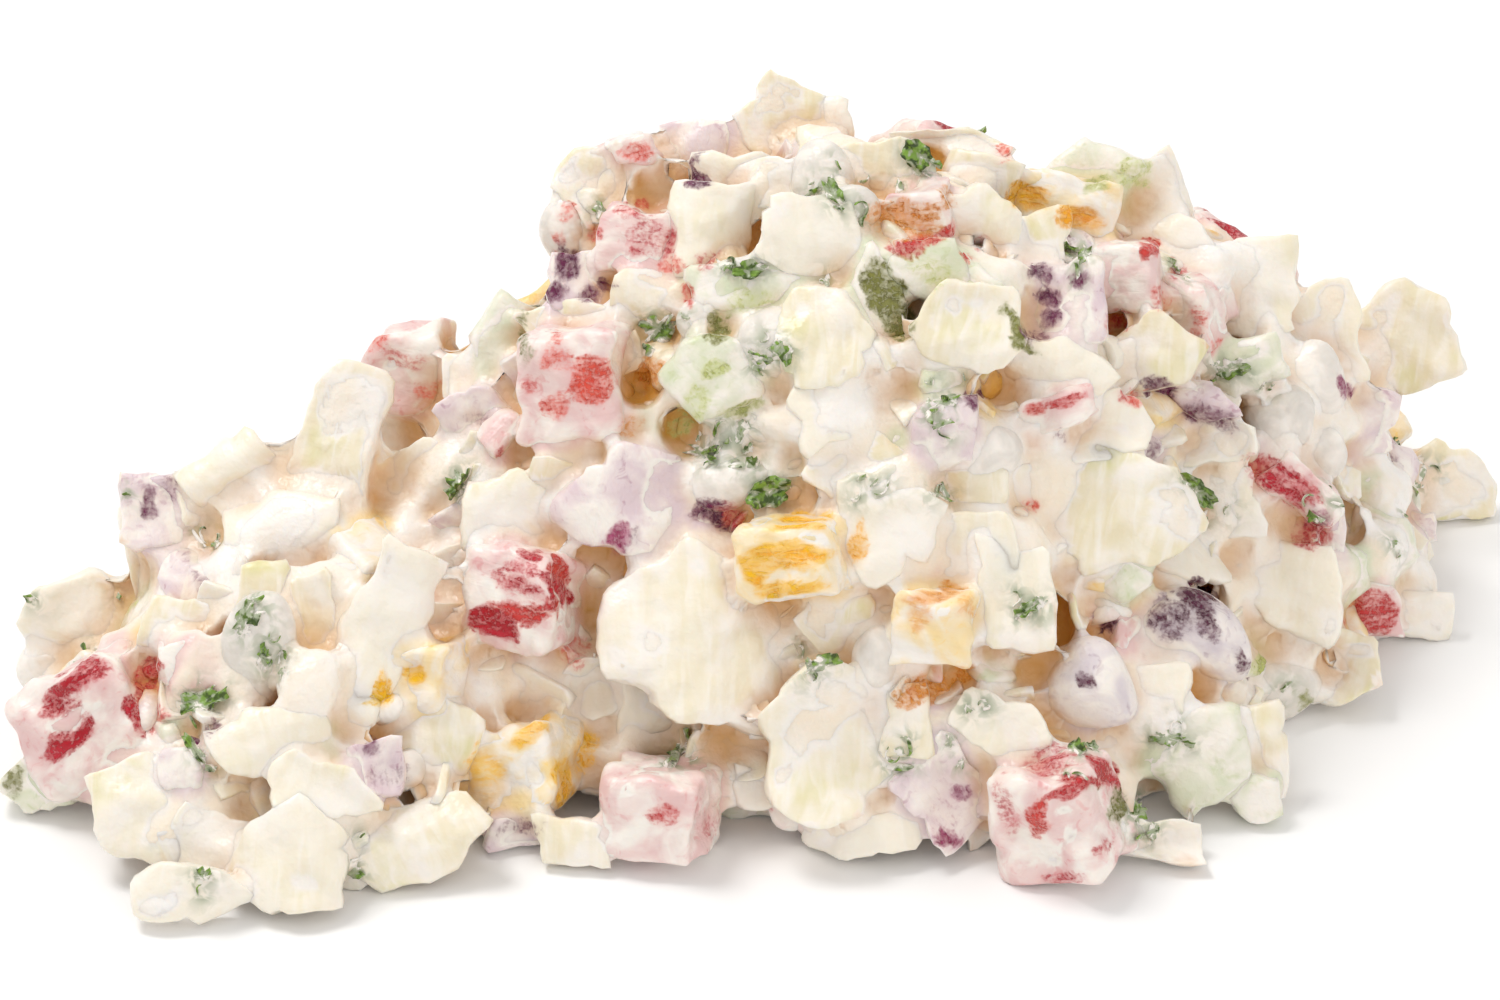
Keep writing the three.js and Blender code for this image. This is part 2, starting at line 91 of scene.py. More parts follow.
# Pieces that show from the front: across and up from the aim, wide, tall, turn in degrees, and
# how far out towards the eye. Peppers add the yaw and pitch that show their sides.
SEEN = {
    "cabbage": [
        [-71, -13, 17, 12, -8, 0], [-62, -5, 12, 12, 10, 0], [-56.5, 3.5, 11, 6, 35, 0],
        [-57, 0, 11, 8, 0, 0], [-50, -4, 14, 10, 8, 2], [-44.5, 5.5, 9, 20, -20, 1],
        [-61, -13.5, 10, 6, -10, 0], [-52.5, -10, 6, 7, 0, 1], [-47, -12, 5, 9, 10, 0],
        [-52, -26, 14, 8, 5, 1], [-66, -34, 12, 14, 0, 2], [-59, -37, 12, 9, 0, 1],
        [-60, -42, 14, 7, 0, 0], [-50, -38, 14, 13, 0, 2], [-46, -31, 14, 7, -12, 2],
        [-36, -37, 16, 9, 25, 0], [-40, -14, 9, 20, -25, 3], [-46, -10, 9, 6, 0, 0],
        [-34, -25, 12, 10, 0, 0], [-29, 13, 9, 6, 0, 0], [-35, 1, 12, 12, 0, 0],
        [-25.5, -2, 13, 11, 0, 2], [-21, 1, 6, 8, -15, 1], [-33, -9, 9, 8, 20, 0],
        [-31, -15, 10, 8, 0, 1], [-19, -36.5, 9, 6, 0, 0], [-17, -20, 10, 7, 0, 0],
        [-20, 19, 12, 6, 0, 0], [-5, -15, 22, 22, 0, 4], [-10, -22, 9, 7, 0, 1],
        [-16, 34, 11, 11, -12, 0], [-13, 33, 12, 9, 0, 1], [-11, 22, 9, 6, 0, 0],
        [-2, 34, 9, 8, 0, 1], [3.5, 41, 11, 11, 0, 0], [9.5, 40, 4, 8, 0, 0],
        [4, 34, 9, 7, 0, 1], [6, 28.5, 12, 10, 8, 3], [-4, 29, 9, 11, 0, 1],
        [15, 36, 11, 7, -8, 1], [22, 37, 14, 7, 0, 0], [25, 35, 9, 6, -10, 1],
        [24, 31, 11, 7, -10, 1], [23, 18.5, 13, 10, -12, 4], [8, 17, 12, 12, 0, 2],
        [43, 33, 9, 9, 20, 0], [30, 27.5, 10, 7, 12, 1], [54, 23, 11, 12, 0, 0],
        [46, 28, 11, 6, -15, 0], [44, 16, 11, 9, 0, 2], [33, 14, 14, 8, -15, 1],
        [61.5, 18, 9, 13, 10, 1], [70.5, 17, 15, 15, -10, 0], [74.5, 2.5, 13, 10, 0, 0],
        [49, 6.5, 12, 6, 0, 1], [37, 7.5, 14, 9, 0, 2], [40, -2, 20, 14, -8, 3],
        [52, 0, 6, 9, 15, 1], [57, -9.5, 15, 11, -12, 3], [70.5, -12, 11, 6, -10, 0],
        [61, -18, 14, 10, -15, 1], [43, -21, 9, 7, 0, 1], [54.5, -27, 6, 12, 0, 1],
        [43, -36.5, 11, 5, -8, 0], [27, -24.5, 13, 7, -15, 3], [8.5, -26, 16, 18, -6, 3],
        [11.5, -35.5, 15.5, 6, 0, 0], [17, -24, 6, 8, 0, 1], [28.5, -10, 9, 13, 0, 3],
        [24, -5, 10, 8, 0, 1], [14, -3, 13, 13, -30, 2], [11, 4, 13, 8, 10, 1],
        [9, 11, 12, 10, 25, 1], [23, 1.5, 10, 5, 0, 0], [-3, -28, 10, 6, 0, 1],
        [1, -31, 6, 5, 0, 0], [-40, 3, 10, 14, -20, -1],
    ],
    "red_pepper": [
        [-70.5, -24, 18, 17, 32, 2, 18, -10], [-60, -18, 9, 7, 0, 0, -10, 0],
        [-37, 14.5, 11, 12, -10, 0, 15, -12], [-24.5, -10, 14, 13, -12, 3, 25, -8],
        [-10, -33, 14, 12, 0, 1, 15, -15], [-19, 12.5, 13, 15, 0, 2, 15, -10],
        [-12.5, 38, 5, 3, 15, 0, 0, 0], [-12, 27.5, 10, 9, -10, 1, 15, 0],
        [18, 31, 9, 8, 0, 0, 15, -15], [41, 24, 9, 9, 0, 1, 20, -12],
        [47, 20.5, 9, 10, 0, 0, 20, -10], [33, 9.5, 9, 4, 12, 1, 0, 0],
        [67, -12, 8, 7, 0, 0, -15, 0], [33, -33.5, 15, 15.5, 4, 3, 30, -24],
        [59, 1.5, 10, 5, -35, 2, 0, 0],
    ],
    "yellow_pepper": [
        [-35, -19, 10, 9, 0, 1, 20, -10], [-25, -29, 15, 13, 4, 3, 25, -12],
        [20, -13.5, 11, 10, -8, 2, 15, -12], [5, -6, 14, 10, 4, 4, 22, -6],
        [33.5, 31.5, 12, 7, -10, 0, 0, 0],
    ],
    "red_onion": [
        [-64, -1, 8, 9, 0, 1], [-41, -29, 7, 7, 0, 1], [-29.5, 9.5, 10, 7, 0, 1],
        [-25, -35.5, 8, 4, 0, 0], [-14, 0, 17, 13, 0, 2], [-6, 37, 9, 8, 0, 0],
        [-18.5, 23.5, 8, 7, 0, 1], [34, 21, 9, 10, 5, 3], [61, -3.5, 7, 6, 0, 1],
        [48, 11, 12, 5, -25, 2], [21, -31.5, 9, 11, 40, 1], [-4, -1.5, 7, 4, 0, 0],
        [21, 7, 8, 9, 0, 2], [66, 8.5, 8, 9, 0, 1], [-61, -29, 5, 5, 0, 2], [72, -3, 5, 4, 0, 0],
    ],
    "kidney_bean": [[46.5, -14, 16, 10, -10, 2], [36.5, -19.5, 10, 10, 0, 2]],
    "cucumber": [
        [-76, -30.5, 9.5, 7, 0, 0], [-26, 17, 9, 12, 0, 0], [-4, 13, 12, 10, 0, 2],
        [0, 23, 14, 7, 0, 1], [14, 22.5, 6, 12, 15, 0], [19.5, 24.5, 10, 8, -10, 1],
        [26, 22, 11, 4, -50, 2], [37, 35, 12, 9, 0, 0], [53, 14.5, 10, 7, 20, 1],
        [68, -5, 9, 10, 0, 1], [40, -8, 7, 7, 0, 2], [48, -28, 13, 14, -10, 3],
        [54, -32, 6, 6, 0, 0], [21, 12.5, 6, 4, 0, 1],
    ],
    "lump": [
        [-74.5, -18.5, 9.5, 8, 0, 0], [-53, -16, 8, 13, 0, 0.5], [-20, 29, 6, 8, 0, 1],
        [-5, 19, 6, 6, 0, 1], [8, 35, 7, 8, 0, 2], [11, 31, 6, 6, 0, 2], [2.5, 17, 8, 8, 0, 2],
        [60, 13, 9, 9, 0, 1], [61, 5, 7, 7, 0, 1], [57, 9, 8, 8, 0, 1], [57, -20.5, 9, 7, 0, 2],
        [26, 5, 7, 7, 0, 1], [13.5, -17, 5, 7, 0, 2], [-2, 2, 10, 6, 0, 1],
    ],
}

# The scattered pieces fill the sides, the back and the gaps. Half are tried all over the
# footprint and half on the flanks, evenly up their height.
SCATTER_FIELD = [[-82, 84], [-46, 72]]
FLANK_HEIGHTS = [3, 40]
SCATTER_LEAST_HEIGHT = 3
SCATTERS = [
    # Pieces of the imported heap
    dict(seed=1000, trials=5000, size=1, sink=0.2, crowding=0.78, sway=2, step=1.4),
    # Small bits on the surface between them
    dict(seed=20000, trials=4000, size=0.52, sink=0.6, crowding=0.66, sway=4, step=1.1),
    # Pieces deeper down that show through the gaps
    dict(seed=40000, trials=2500, size=0.9, sink=4.2, crowding=0.66, sway=3, step=1.8),
]

# Scattered pieces that the eye sees edge-on lie deeper, so that they stay behind the heap's rim
RIM_SINK = 4
RIM_WIDTH = 0.5

PEPPER_VIEW_SHARE = 0.84
SEEN_STEP = 0.95
CHIP_SIDE = 2.6
PLATE_RAGGED = 0.36
PLATE_CURL = 0.22
INNER_RINGS = [0.2, 0.4, 0.6, 0.8]
CORNER_CUTS = (0.04, 0.14, 0.25)
CHIP_THINNESS = 0.6

# A plate's section, as turns in degrees from its middle above to its middle below
FINE_STEP = 1.5
FINE_TURNS = [8, 18, 30, 43, 56, 68, 79, 90, 105, 125, 150]
COARSE_TURNS = [15, 40, 65, 90, 120, 150]

# The waves of a rim, as change of seed, height and length, and its notches: their breadths are shares
# of the rim, and all the rest are shares of how far the rim lies from its middle
RIM_WAVES = [(0.5, 0.045, 0.55), (0.7, 0.02, 0.22)]
NOTCHES = 4
NOTCH_BREADTHS = [0.012, 0.04]
NOTCH_DEPTHS = [0.03, 0.17]

# How far the edges of the bare patches wander, and how far their fringe reaches past them
WIPED_WANDER = 0.6
WANDER_SEEDS = (905, 906)
WANDER_LENGTH = 3
WIPED_FRINGE = 1

# How a patch fades from its middle to its edge, and as the surface turns away from the eye
PATCH_EDGE = (0.15, 1.5)
PATCH_FACINGS = (0.05, 0.3)

# Where the dressing has come off, as seen from the front, and one amber patch of painted shade under a yellow
# cube: across, up, long, wide, turn, share, and for some how ripe the skin is
BARE_AND_SHADE_PATCHES = {
    "red_pepper": [
        # The cube at the left end, with two broad stripes and a dark side
        [-71.1, -18.2, 2.6, 1.8, -20, 0.85], [-74.1, -20.4, 6.4, 2, 37, 1],
        [-74.8, -22.4, 4, 1.4, 15, 0.7], [-73.6, -26.1, 6.2, 1.7, 25, 1],
        [-71.3, -24, 0.8, 1.6, 0, 0.6], [-66.4, -23.1, 1.3, 4, 8, 1], [-64.9, -22.4, 2.4, 5, 15, 0.55, 0.3],
        [-64.8, -18.4, 3.4, 1.4, 30, 0.7, 0.3], [-65.3, -20.4, 1.5, 1.5, 0, 0.6],
        # The striped cube
        [-20.5, -7.8, 1.5, 2.2, 0, 1, 0.5], [-21.3, -9.2, 2.8, 1.2, -25, 0.95],
        [-20, -10.6, 0.8, 0.8, 0, 1], [-21.3, -11.4, 1.3, 1.2, 0, 0.9, 0.2],
        [-24.9, -12.4, 6, 1.4, -10, 1, 0.4], [-29, -13, 2.2, 1.9, 0, 0.9],
        [-26.7, -13.8, 3.8, 1.4, -35, 1], [-23.6, -6.1, 2.2, 1.1, -15, 0.75],
        [-25, -7.5, 4.6, 1, -15, 0.5], [-25.8, -9.1, 5.4, 0.8, -20, 0.6],
        [-23.9, -10.3, 3.6, 0.8, -20, 0.6], [-18.7, -16.6, 2.6, 4, 0, 0.4, 0.6],
        # The coral cube
        [-17.1, 13, 4.4, 5, -20, 0.85, 0.9], [-20.8, 15.3, 4.2, 2.6, 0, 0.42, 1],
        [-21.2, 10.3, 2.8, 2.4, 0, 0.6, 0.9], [-23.8, 12.5, 1.2, 1.2, 0, 0.4, 0.5],
        [-20.4, 17.9, 2, 0.8, -5, 0.55, 1],
        # The cube near the top, to the left
        [-12.4, 37.6, 3.2, 1.7, 15, 0.5, 1], [-19.8, 31, 1.6, 1.8, 0, 0.5, 1],
        [-20.8, 28, 1.2, 1.2, 0, 0.5, 1], [-16.8, 28.9, 1.8, 1.6, 0, 0.45, 0.5],
        [-11.4, 28.6, 5.6, 5.4, -20, 0.36], [-13.1, 31.6, 3, 1, 0, 0.55, 0.4],
        [-8.7, 27.9, 1.2, 3.2, 20, 0.55], [-12.1, 27, 1.2, 1.2, 0, 0.6], [-8.6, 25, 2, 1.6, 0, 0.5, 0.8],
        [-4.6, 25.9, 2.4, 1.4, 15, 0.4], [-6.4, 22.1, 0.8, 1.5, 0, 0.75, 0.6],
        # The top
        [19.3, 28.6, 6.6, 1, 20, 0.85, 0.5], [17, 27.4, 3, 1.4, 10, 0.85, 0.3],
        [24.9, 28, 1.8, 1.6, 0, 0.45], [23.5, 26.1, 0.5, 0.8, 0, 0.8, 0.6], [27.7, 37.6, 1.4, 2, 0, 0.5, 1],
        [43, 27.3, 0.9, 1.3, -20, 1, 0.5], [46.3, 25, 1.2, 1.6, 20, 0.85, 0.1],
        [39.8, 19.3, 2.8, 2.2, 40, 0.6, 0.3], [44.1, 21.8, 1.6, 2.4, 0, 0.4, 0.7],
        [48.5, 19, 2, 2.6, 0, 0.4, 0.8], [50.2, 16.7, 1.2, 1.2, 0, 0.5, 0.8],
        # The middle and the right
        [30.8, 9.5, 1.8, 1, -10, 0.9, 0.6], [33.4, 10.5, 5.5, 0.7, 14, 0.55, 0.3],
        [41.7, 10.8, 1.6, 1, 0, 0.6, 1], [40.4, 11.5, 1.6, 0.7, 0, 0.5, 0.3],
        [57.4, 2.2, 9, 3, -32, 0.75], [60.7, -3.5, 4.6, 3.6, 0, 0.62], [67.2, -12.2, 5, 4.2, 0, 0.75, 0.3],
        [30.5, -0.6, 1.4, 0.9, 0, 0.5, 1], [-2, -1.6, 2.2, 1.6, -15, 0.75],
        [-40.5, 17, 3, 2, 0, 0.42, 1], [-35, 12, 2.6, 2.4, 0, 0.35, 0.9],
        [-37.5, 15.2, 5, 1.2, -20, 0.35, 0.4],
        # Low in front
        [-9.9, -33.8, 3, 1.8, -20, 0.6, 0.3], [-4.1, -35.1, 3, 3, 0, 0.32],
        [35.4, -30.8, 7.6, 0.8, 16, 0.95, 0.2], [38.3, -29.3, 4.6, 0.9, -52, 0.9, 0.1],
        [31.3, -34.1, 1.3, 3.8, 8, 0.9, 0.5], [32.6, -28.3, 6, 3.4, 10, 0.42], [27.6, -32.9, 2, 8, 15, 0.35],
        [33.8, -40.8, 5, 1, 0, 0.45], [37.9, -37.5, 2.4, 1, 0, 0.45],
    ],
    "yellow_pepper": [
        [-39.8, -20.4, 1.5, 3.6, 0, 1], [-36.4, -18.8, 1.4, 1.4, 0, 0.9],
        [-23.8, -25.2, 4, 2, 28, 0.75], [-28.4, -29.4, 3.6, 6.4, 10, 0.52], [-20, -31, 1.3, 5.6, 0, 0.9],
        [-17.8, -27.2, 2, 4.6, 0, 0.55], [5, -6.1, 8, 2, 2, 1], [1.4, -6.7, 3, 2.6, 30, 0.9],
        [0.1, -7.7, 1.6, 3, 20, 1], [4.3, -9.4, 8, 1, 4, 0.9], [5.6, -2.5, 6.6, 1, 12, 0.9],
        [11.7, -4.5, 1.4, 5, 0, 0.7, 0.3], [20.1, -10.3, 6.6, 0.9, 8, 0.85, 0.9],
        [18.5, -12.8, 2.6, 2, 0, 0.6, 0.8], [23.4, -11.4, 1.4, 2.6, 0, 0.5, 0.7],
        # Painted shade: amber-brown where the shadow falls under this cube, laid on whatever lies there
        [18.9, -20.5, 7, 2.8, 15, 0.72, 1], [23.2, -18.8, 1.8, 1.4, 0, 0.7, 1],
        [16.7, 30.4, 8, 4.2, 0, 0.6, 1], [21.1, 32.4, 1.2, 2.4, 15, 0.6, 1],
        [30, 32.6, 4.6, 2.2, -20, 0.95, 0.2], [36, 30.3, 5, 2.6, -10, 0.9, 0.5],
        [-10.9, 13.6, 1.6, 4, -10, 0.7, 1], [-12.9, 8.1, 2.2, 3, 0, 0.4, 1],
    ],
    "red_onion": [
        [-65.1, 0, 0.9, 2.7, 10, 0.85], [-62.8, 1.1, 1.6, 3.6, 10, 0.4], [-40.9, -26.5, 1.6, 0.9, 0, 0.75],
        [-39, -29.5, 4.6, 3.4, 0, 0.35], [-14.2, -4.3, 1.3, 2.5, 10, 0.9, 1], [-12.1, -4.2, 0.8, 1.4, 0, 0.4],
        [-3.9, -1.7, 3.8, 2.2, -10, 1], [-25, -35.5, 6.4, 1.4, 0, 0.4], [20.8, -34, 5.4, 5.4, 0, 0.3, 0.8],
        [22.6, -31.7, 1.8, 1.8, 0, 0.6, 0.5], [21.4, -36.6, 2, 1.4, 15, 0.85, 0.8],
        [-19.7, 25.4, 2.8, 2.7, 0, 1], [-21.4, 22.6, 2.9, 1.4, -10, 1], [-17.6, 22.1, 2.4, 1.2, -25, 0.85],
        [-15.7, 22.8, 1.6, 0.9, 35, 0.8], [-5.5, 34.6, 1, 1, 0, 0.95], [-6, 36.8, 0.9, 2, -10, 0.6],
        [31.7, 24.5, 2.2, 1.1, 0, 0.85], [35.3, 24.1, 2.2, 1.7, 0, 1], [32, 22.2, 2.2, 1.5, 0, 0.95],
        [32.7, 19.8, 1.7, 1.7, 0, 0.85], [31.1, 17.9, 1.8, 1, 0, 0.5], [33.4, 7, 0.8, 2.6, -25, 0.35],
        [44.2, 12.1, 3.6, 1.6, -35, 1], [47, 9.8, 3.8, 1.3, -30, 0.85], [50.2, 8.9, 4.4, 1.6, -25, 0.6],
        [64, 12, 0.9, 1.5, 30, 0.75, 0.6], [-29.5, 9, 4, 1.4, 0, 0.3], [23.9, 11.2, 1.4, 0.9, -20, 0.9],
        [-58, -24.5, 1.2, 2, 0, 0.5], [61.6, -2, 2, 1.4, 0, 0.55, 0.6],
    ],
    "kidney_bean": [
        [45.3, -13, 4, 5, 10, 0.55], [48.6, -10.2, 4, 1.7, -10, 1], [49.3, -13, 1.5, 3.4, 10, 0.85],
        [46.8, -12, 1.2, 2.6, 20, 0.65], [53, -17.4, 1.5, 2.4, 20, 0.6], [38.5, -13, 2.2, 1, -25, 0.65],
        [36.3, -19.5, 1.2, 1.1, 0, 1],
    ],
    "cucumber": [
        [-0.7, 9.9, 4.6, 1, 22, 0.78, 0.4], [-4.2, 14.1, 2.6, 1.7, 20, 0.65], [-5.7, 10.5, 3, 4, 0, 0.42],
        [-3.6, 18.8, 1.7, 2.6, 0, 0.95, 0.9], [14.9, 21.4, 9.5, 3.3, -62, 1, 1],
        [19.3, 24.6, 5, 2.6, -20, 0.38], [41.3, 35.3, 3.6, 3, 0, 0.5], [37.6, 34, 2.1, 0.9, 0, 0.9, 0.4],
        [29, 18.2, 6.8, 0.7, -57, 1, 0.9], [-79.5, -30, 1, 4, 0, 0.55, 1], [0, 21.5, 6, 2, 10, 0.42],
        [-7.5, 8, 3, 1.4, 20, 0.5], [-24.3, 17.5, 0.4, 6, 0, 0.55, 1], [60, -21.5, 2.6, 0.8, 60, 0.6, 0.8],
        [40, -33, 1.6, 3, 0, 0.7, 1],
    ],
}

# The kinds that show through the dressing: screen colours where they are bare, bare and riper, under
# a very thin film of dressing and under a film; how their streaks are drawn out; and how grainy and
# how ridged their bare patches are
COATED = {
    "red_pepper": dict(
        bare=(194, 28, 48), ripe=(230, 92, 72), thin=(220, 136, 138), film=(231, 197, 194),
        streak=(0.4, 1.3, 1), grain=0.35, ridged=0.5,
    ),
    "yellow_pepper": dict(
        # The riper amber is also the colour of the painted shade under one cube
        bare=(252, 192, 8), ripe=(224, 146, 50), thin=(250, 208, 100), film=(249, 222, 166),
        streak=(0.4, 1.3, 1), grain=0.12, ridged=0.4,
    ),
    "red_onion": dict(
        bare=(112, 38, 78), ripe=(172, 66, 110), thin=(178, 130, 150), film=(224, 205, 210),
        streak=(1.4, 0.6, 1), grain=0.25, ridged=0.4,
    ),
    "kidney_bean": dict(
        bare=(98, 34, 66), ripe=(150, 90, 60), thin=(156, 122, 142), film=(218, 208, 213),
        streak=(0.7, 1, 1), grain=0.35, ridged=0.5,
    ),
    "cucumber": dict(
        bare=(202, 208, 132), ripe=(132, 132, 66), thin=(198, 207, 154), film=(218, 222, 194),
        streak=(1, 1, 1), grain=0.3, ridged=0.5,
    ),
}

# How near a coated kind has to lie for the dressing to take its colour
STAIN_REACH = (0.1, 1.4)


# Repeatable draws and smooth waves


def chance(seed, draw):
    """A repeatable draw from 0 to 1, for a piece's seed and the draw's own number."""
    wave = math.sin(seed * 12.9898 + draw * 78.233) * 43758.5453
    return wave - math.floor(wave)


def swing(seed, draw):
    """A repeatable draw from -1 to 1."""
    return 2 * chance(seed, draw) - 1


def between(ends, share):
    return ends[0] + (ends[1] - ends[0]) * share


def drawn(ends, seed, draw):
    """A repeatable draw between two ends."""
    return between(ends, chance(seed, draw))


def smooth_step(low, high, value):
    share = np.clip((value - low) / (high - low), 0, 1)
    return share * share * (3 - 2 * share)


def ripple(points, seed, wavelength, waves=7):
    """A smooth uneven field of about -1 to 1 over the points, the same for the same seed."""
    total = np.zeros(len(points))
    for wave in range(waves):
        draw = 50 + 4 * wave
        heading = 2 * math.pi * chance(seed, draw)
        lift = swing(seed, draw + 1)
        level = math.sqrt(1 - lift * lift)
        direction = np.array([level * math.cos(heading), level * math.sin(heading), lift])
        pace = 2 * math.pi / (wavelength * drawn([0.7, 1.6], seed, draw + 2))
        phase = 2 * math.pi * chance(seed, draw + 3)
        total += np.sin(points @ direction[: points.shape[1]] * pace + phase)
    return total / math.sqrt(2 * waves)


def turned_offsets(across, up, middle_across, middle_up, turn):
    """How far points lie from a middle, along a line turned by some degrees, and aside from it."""
    cosine, sine = math.cos(math.radians(turn)), math.sin(math.radians(turn))
    along = (across - middle_across) * cosine + (up - middle_up) * sine
    return along, (up - middle_up) * cosine - (across - middle_across) * sine


# The heap's form and the places of its pieces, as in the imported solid


def heap_height(x, y, inset=0.0):
    """Height of the heap over points, negative outside it; the mounds may be drawn in."""
    lift = np.zeros(np.shape(x))
    nearest = np.full(np.shape(x), -np.inf)
    for middle_x, middle_y, high, long, wide, turn in MOUNDS:
        along, aside = turned_offsets(x, y, middle_x, middle_y, turn)
        outward = (along / (long - inset)) ** 2 + (aside / (wide - inset)) ** 2
        rise = (high - inset) * (1 - outward)
        lift = lift + np.maximum(0, rise) ** 3
        nearest = np.maximum(nearest, rise)
    return np.where(lift > 0, np.cbrt(lift), nearest)


def heap_normal(x, y):
    """The way the heap faces at one point or at many."""
    step = 1.0
    slope_x = heap_height(x - step, y) - heap_height(x + step, y)
    slope_y = heap_height(x, y - step) - heap_height(x, y + step)
    normal = np.stack([slope_x, slope_y, np.full(np.shape(x), 2 * step)], axis=-1)
    return normal / np.linalg.norm(normal, axis=-1, keepdims=True)


def seen_spot(across, up):
    """Where the sight line through a view point meets the heap, or passes closest over it."""
    eye = AIM + TO_EYE * EYE_DISTANCE
    sight = AIM + VIEW_RIGHT * across + VIEW_UP * up - eye
    sight /= np.linalg.norm(sight)
    far = np.arange(EYE_DISTANCE - SIGHT_REACH, EYE_DISTANCE + SIGHT_REACH, SIGHT_STEP)
    points = eye + sight * far[:, None]
    gap = points[:, 2] - heap_height(points[:, 0], points[:, 1])
    sunk = np.flatnonzero(points[:, 2] < 0)
    met = np.flatnonzero(gap <= 0)
    end = min([len(far), *sunk[:1], *(met[:1] + 1)])
    return points[np.argmin(gap[:end])]


def view_place(points):
    """Across and up, in the view's millimetres, of points in the layout frame."""
    offset = points - AIM
    scale = EYE_DISTANCE / (EYE_DISTANCE - offset @ TO_EYE)
    return offset @ VIEW_RIGHT * scale, offset @ VIEW_UP * scale


def turned(axis, degrees):
    return np.array(Matrix.Rotation(math.radians(degrees), 3, axis))


def stance(facing, turn, yaw, pitch):
    """A piece's axes as columns: it faces along its normal, with its tall side near the view's up."""
    side = np.cross(VIEW_UP, facing)
    side /= np.linalg.norm(side)
    axes = np.column_stack([side, np.cross(facing, side), facing])
    return axes @ turned("Y", -yaw) @ turned("X", -pitch) @ turned("Z", turn)


def piece_size(kind, wide, tall):
    return np.array([wide, tall, max(KINDS[kind]["thick"], KINDS[kind]["depth"] * wide)])


def seen_pieces():
    pieces = []
    for kind, rows in SEEN.items():
        sway = KINDS[kind]["sway"]
        for across, up, wide, tall, turn, out, *own in rows:
            seed = len(pieces) + 1
            spot = seen_spot(across, up)
            standing = max(0, tall / 2 * VIEW_UP[2] - spot[2]) / TO_EYE[2]
            spot = spot + TO_EYE * max(out, standing)
            yaw, pitch = own or [sway * swing(seed, draw) for draw in (1, 2)]
            share = PEPPER_VIEW_SHARE if own and yaw else 1
            pieces.append(dict(
                kind=kind,
                seed=seed,
                spot=spot,
                size=piece_size(kind, wide * share, tall * share),
                axes=stance(TO_EYE, turn, yaw, pitch),
                step=SEEN_STEP,
                seen=True,
            ))
    return pieces


def drawn_kind(share):
    for kind, facts in KINDS.items():
        share -= facts["share"]
        if share < 0:
            return kind
    return "cabbage"


def radius(size):
    return (size[0] + size[1]) / 4


def flank_point(angle, high, inset):
    """The point at a height on the heap's flank, in the direction of an angle seen from above."""
    far = np.arange(WIDEST_REACH, 0, -REACH_STEP)
    x = CORE_AXIS[0] + far * math.cos(angle)
    y = CORE_AXIS[1] + far * math.sin(angle)
    reached = np.flatnonzero(heap_height(x, y, inset) >= high)
    first = reached[0] if len(reached) else len(far) - 1
    return x[first], y[first]


def scatter_point(seed):
    first, second = chance(seed, 1), chance(seed, 2)
    if seed % 2:
        return flank_point(2 * math.pi * first, between(FLANK_HEIGHTS, second), 0)
    return between(SCATTER_FIELD[0], first), between(SCATTER_FIELD[1], second)


def surface_spot(x, y, high, rise):
    """The point at a distance over the heap, deeper at its rim for the eye, and the way it faces."""
    facing = heap_normal(x, y)
    edge_on = max(0, 1 - abs(facing @ TO_EYE) / RIM_WIDTH)
    return np.array([x, y, high]) + facing * (rise - RIM_SINK * edge_on), facing


def scattered_piece(seed, scatter):
    """A piece that a seeded rule lays on the heap, or none where the heap is too low for it."""
    x, y = scatter_point(seed)
    high = float(heap_height(x, y))
    if high < SCATTER_LEAST_HEIGHT:
        return None
    kind = drawn_kind(chance(seed, 3))
    facts = KINDS[kind]
    wide = drawn(facts["width"], seed, 4) * scatter["size"]
    size = piece_size(kind, wide, wide * facts["aspect"])
    size[2] *= scatter["size"]
    spot, facing = surface_spot(x, y, high, -scatter["sink"])
    sway = scatter["sway"] * facts["sway"]
    yaw, pitch = [sway * swing(seed, draw) for draw in (6, 7)]
    return dict(
        kind=kind,
        seed=seed,
        spot=spot,
        size=size,
        axes=stance(facing, 360 * chance(seed, 5), yaw, pitch),
        step=scatter["step"],
        seen=False,
    )


def scattered_pieces(placed, scatter):
    """Pieces spread over the whole heap, left out where one already lies."""
    pieces = list(placed)
    spots = [piece["spot"] for piece in pieces]
    reaches = [radius(piece["size"]) for piece in pieces]
    for trial in range(scatter["trials"]):
        piece = scattered_piece(scatter["seed"] + trial, scatter)
        if piece is None:
            continue
        reach = radius(piece["size"])
        apart = np.linalg.norm(np.array(spots) - piece["spot"], axis=1)
        if np.all(apart >= scatter["crowding"] * (np.array(reaches) + reach)):
            pieces.append(piece)
            spots.append(piece["spot"])
            reaches.append(reach)
    return pieces


# The shapes of the pieces: local points in millimetres, and quads and triangles that use them


def fitted(points, size):
    """The points moved and scaled to fill a box of the given size."""
    low, high = points.min(axis=0), points.max(axis=0)
    return (points - (low + high) / 2) * (size[: points.shape[1]] / (high - low))


def ringed(rings, first_pole, last_pole):
    """A closed shape from rings of points, one pole at each end. The rings turn anticlockwise as
    seen from the first pole, so that the faces look outward."""
    count, around = rings.shape[:2]
    points = np.vstack([rings.reshape(-1, 3), first_pole, last_pole])
    here = np.arange(around)
    following = (here + 1) % around
    quads = [
        np.column_stack([following, here, here + around, following + around]) + ring * around
        for ring in range(count - 1)
    ]
    last = (count - 1) * around
    poles = [
        np.column_stack([here, following, np.full(around, count * around)]),
        np.column_stack([following + last, here + last, np.full(around, count * around + 1)]),
    ]
    return points, np.vstack(quads), np.vstack(poles)


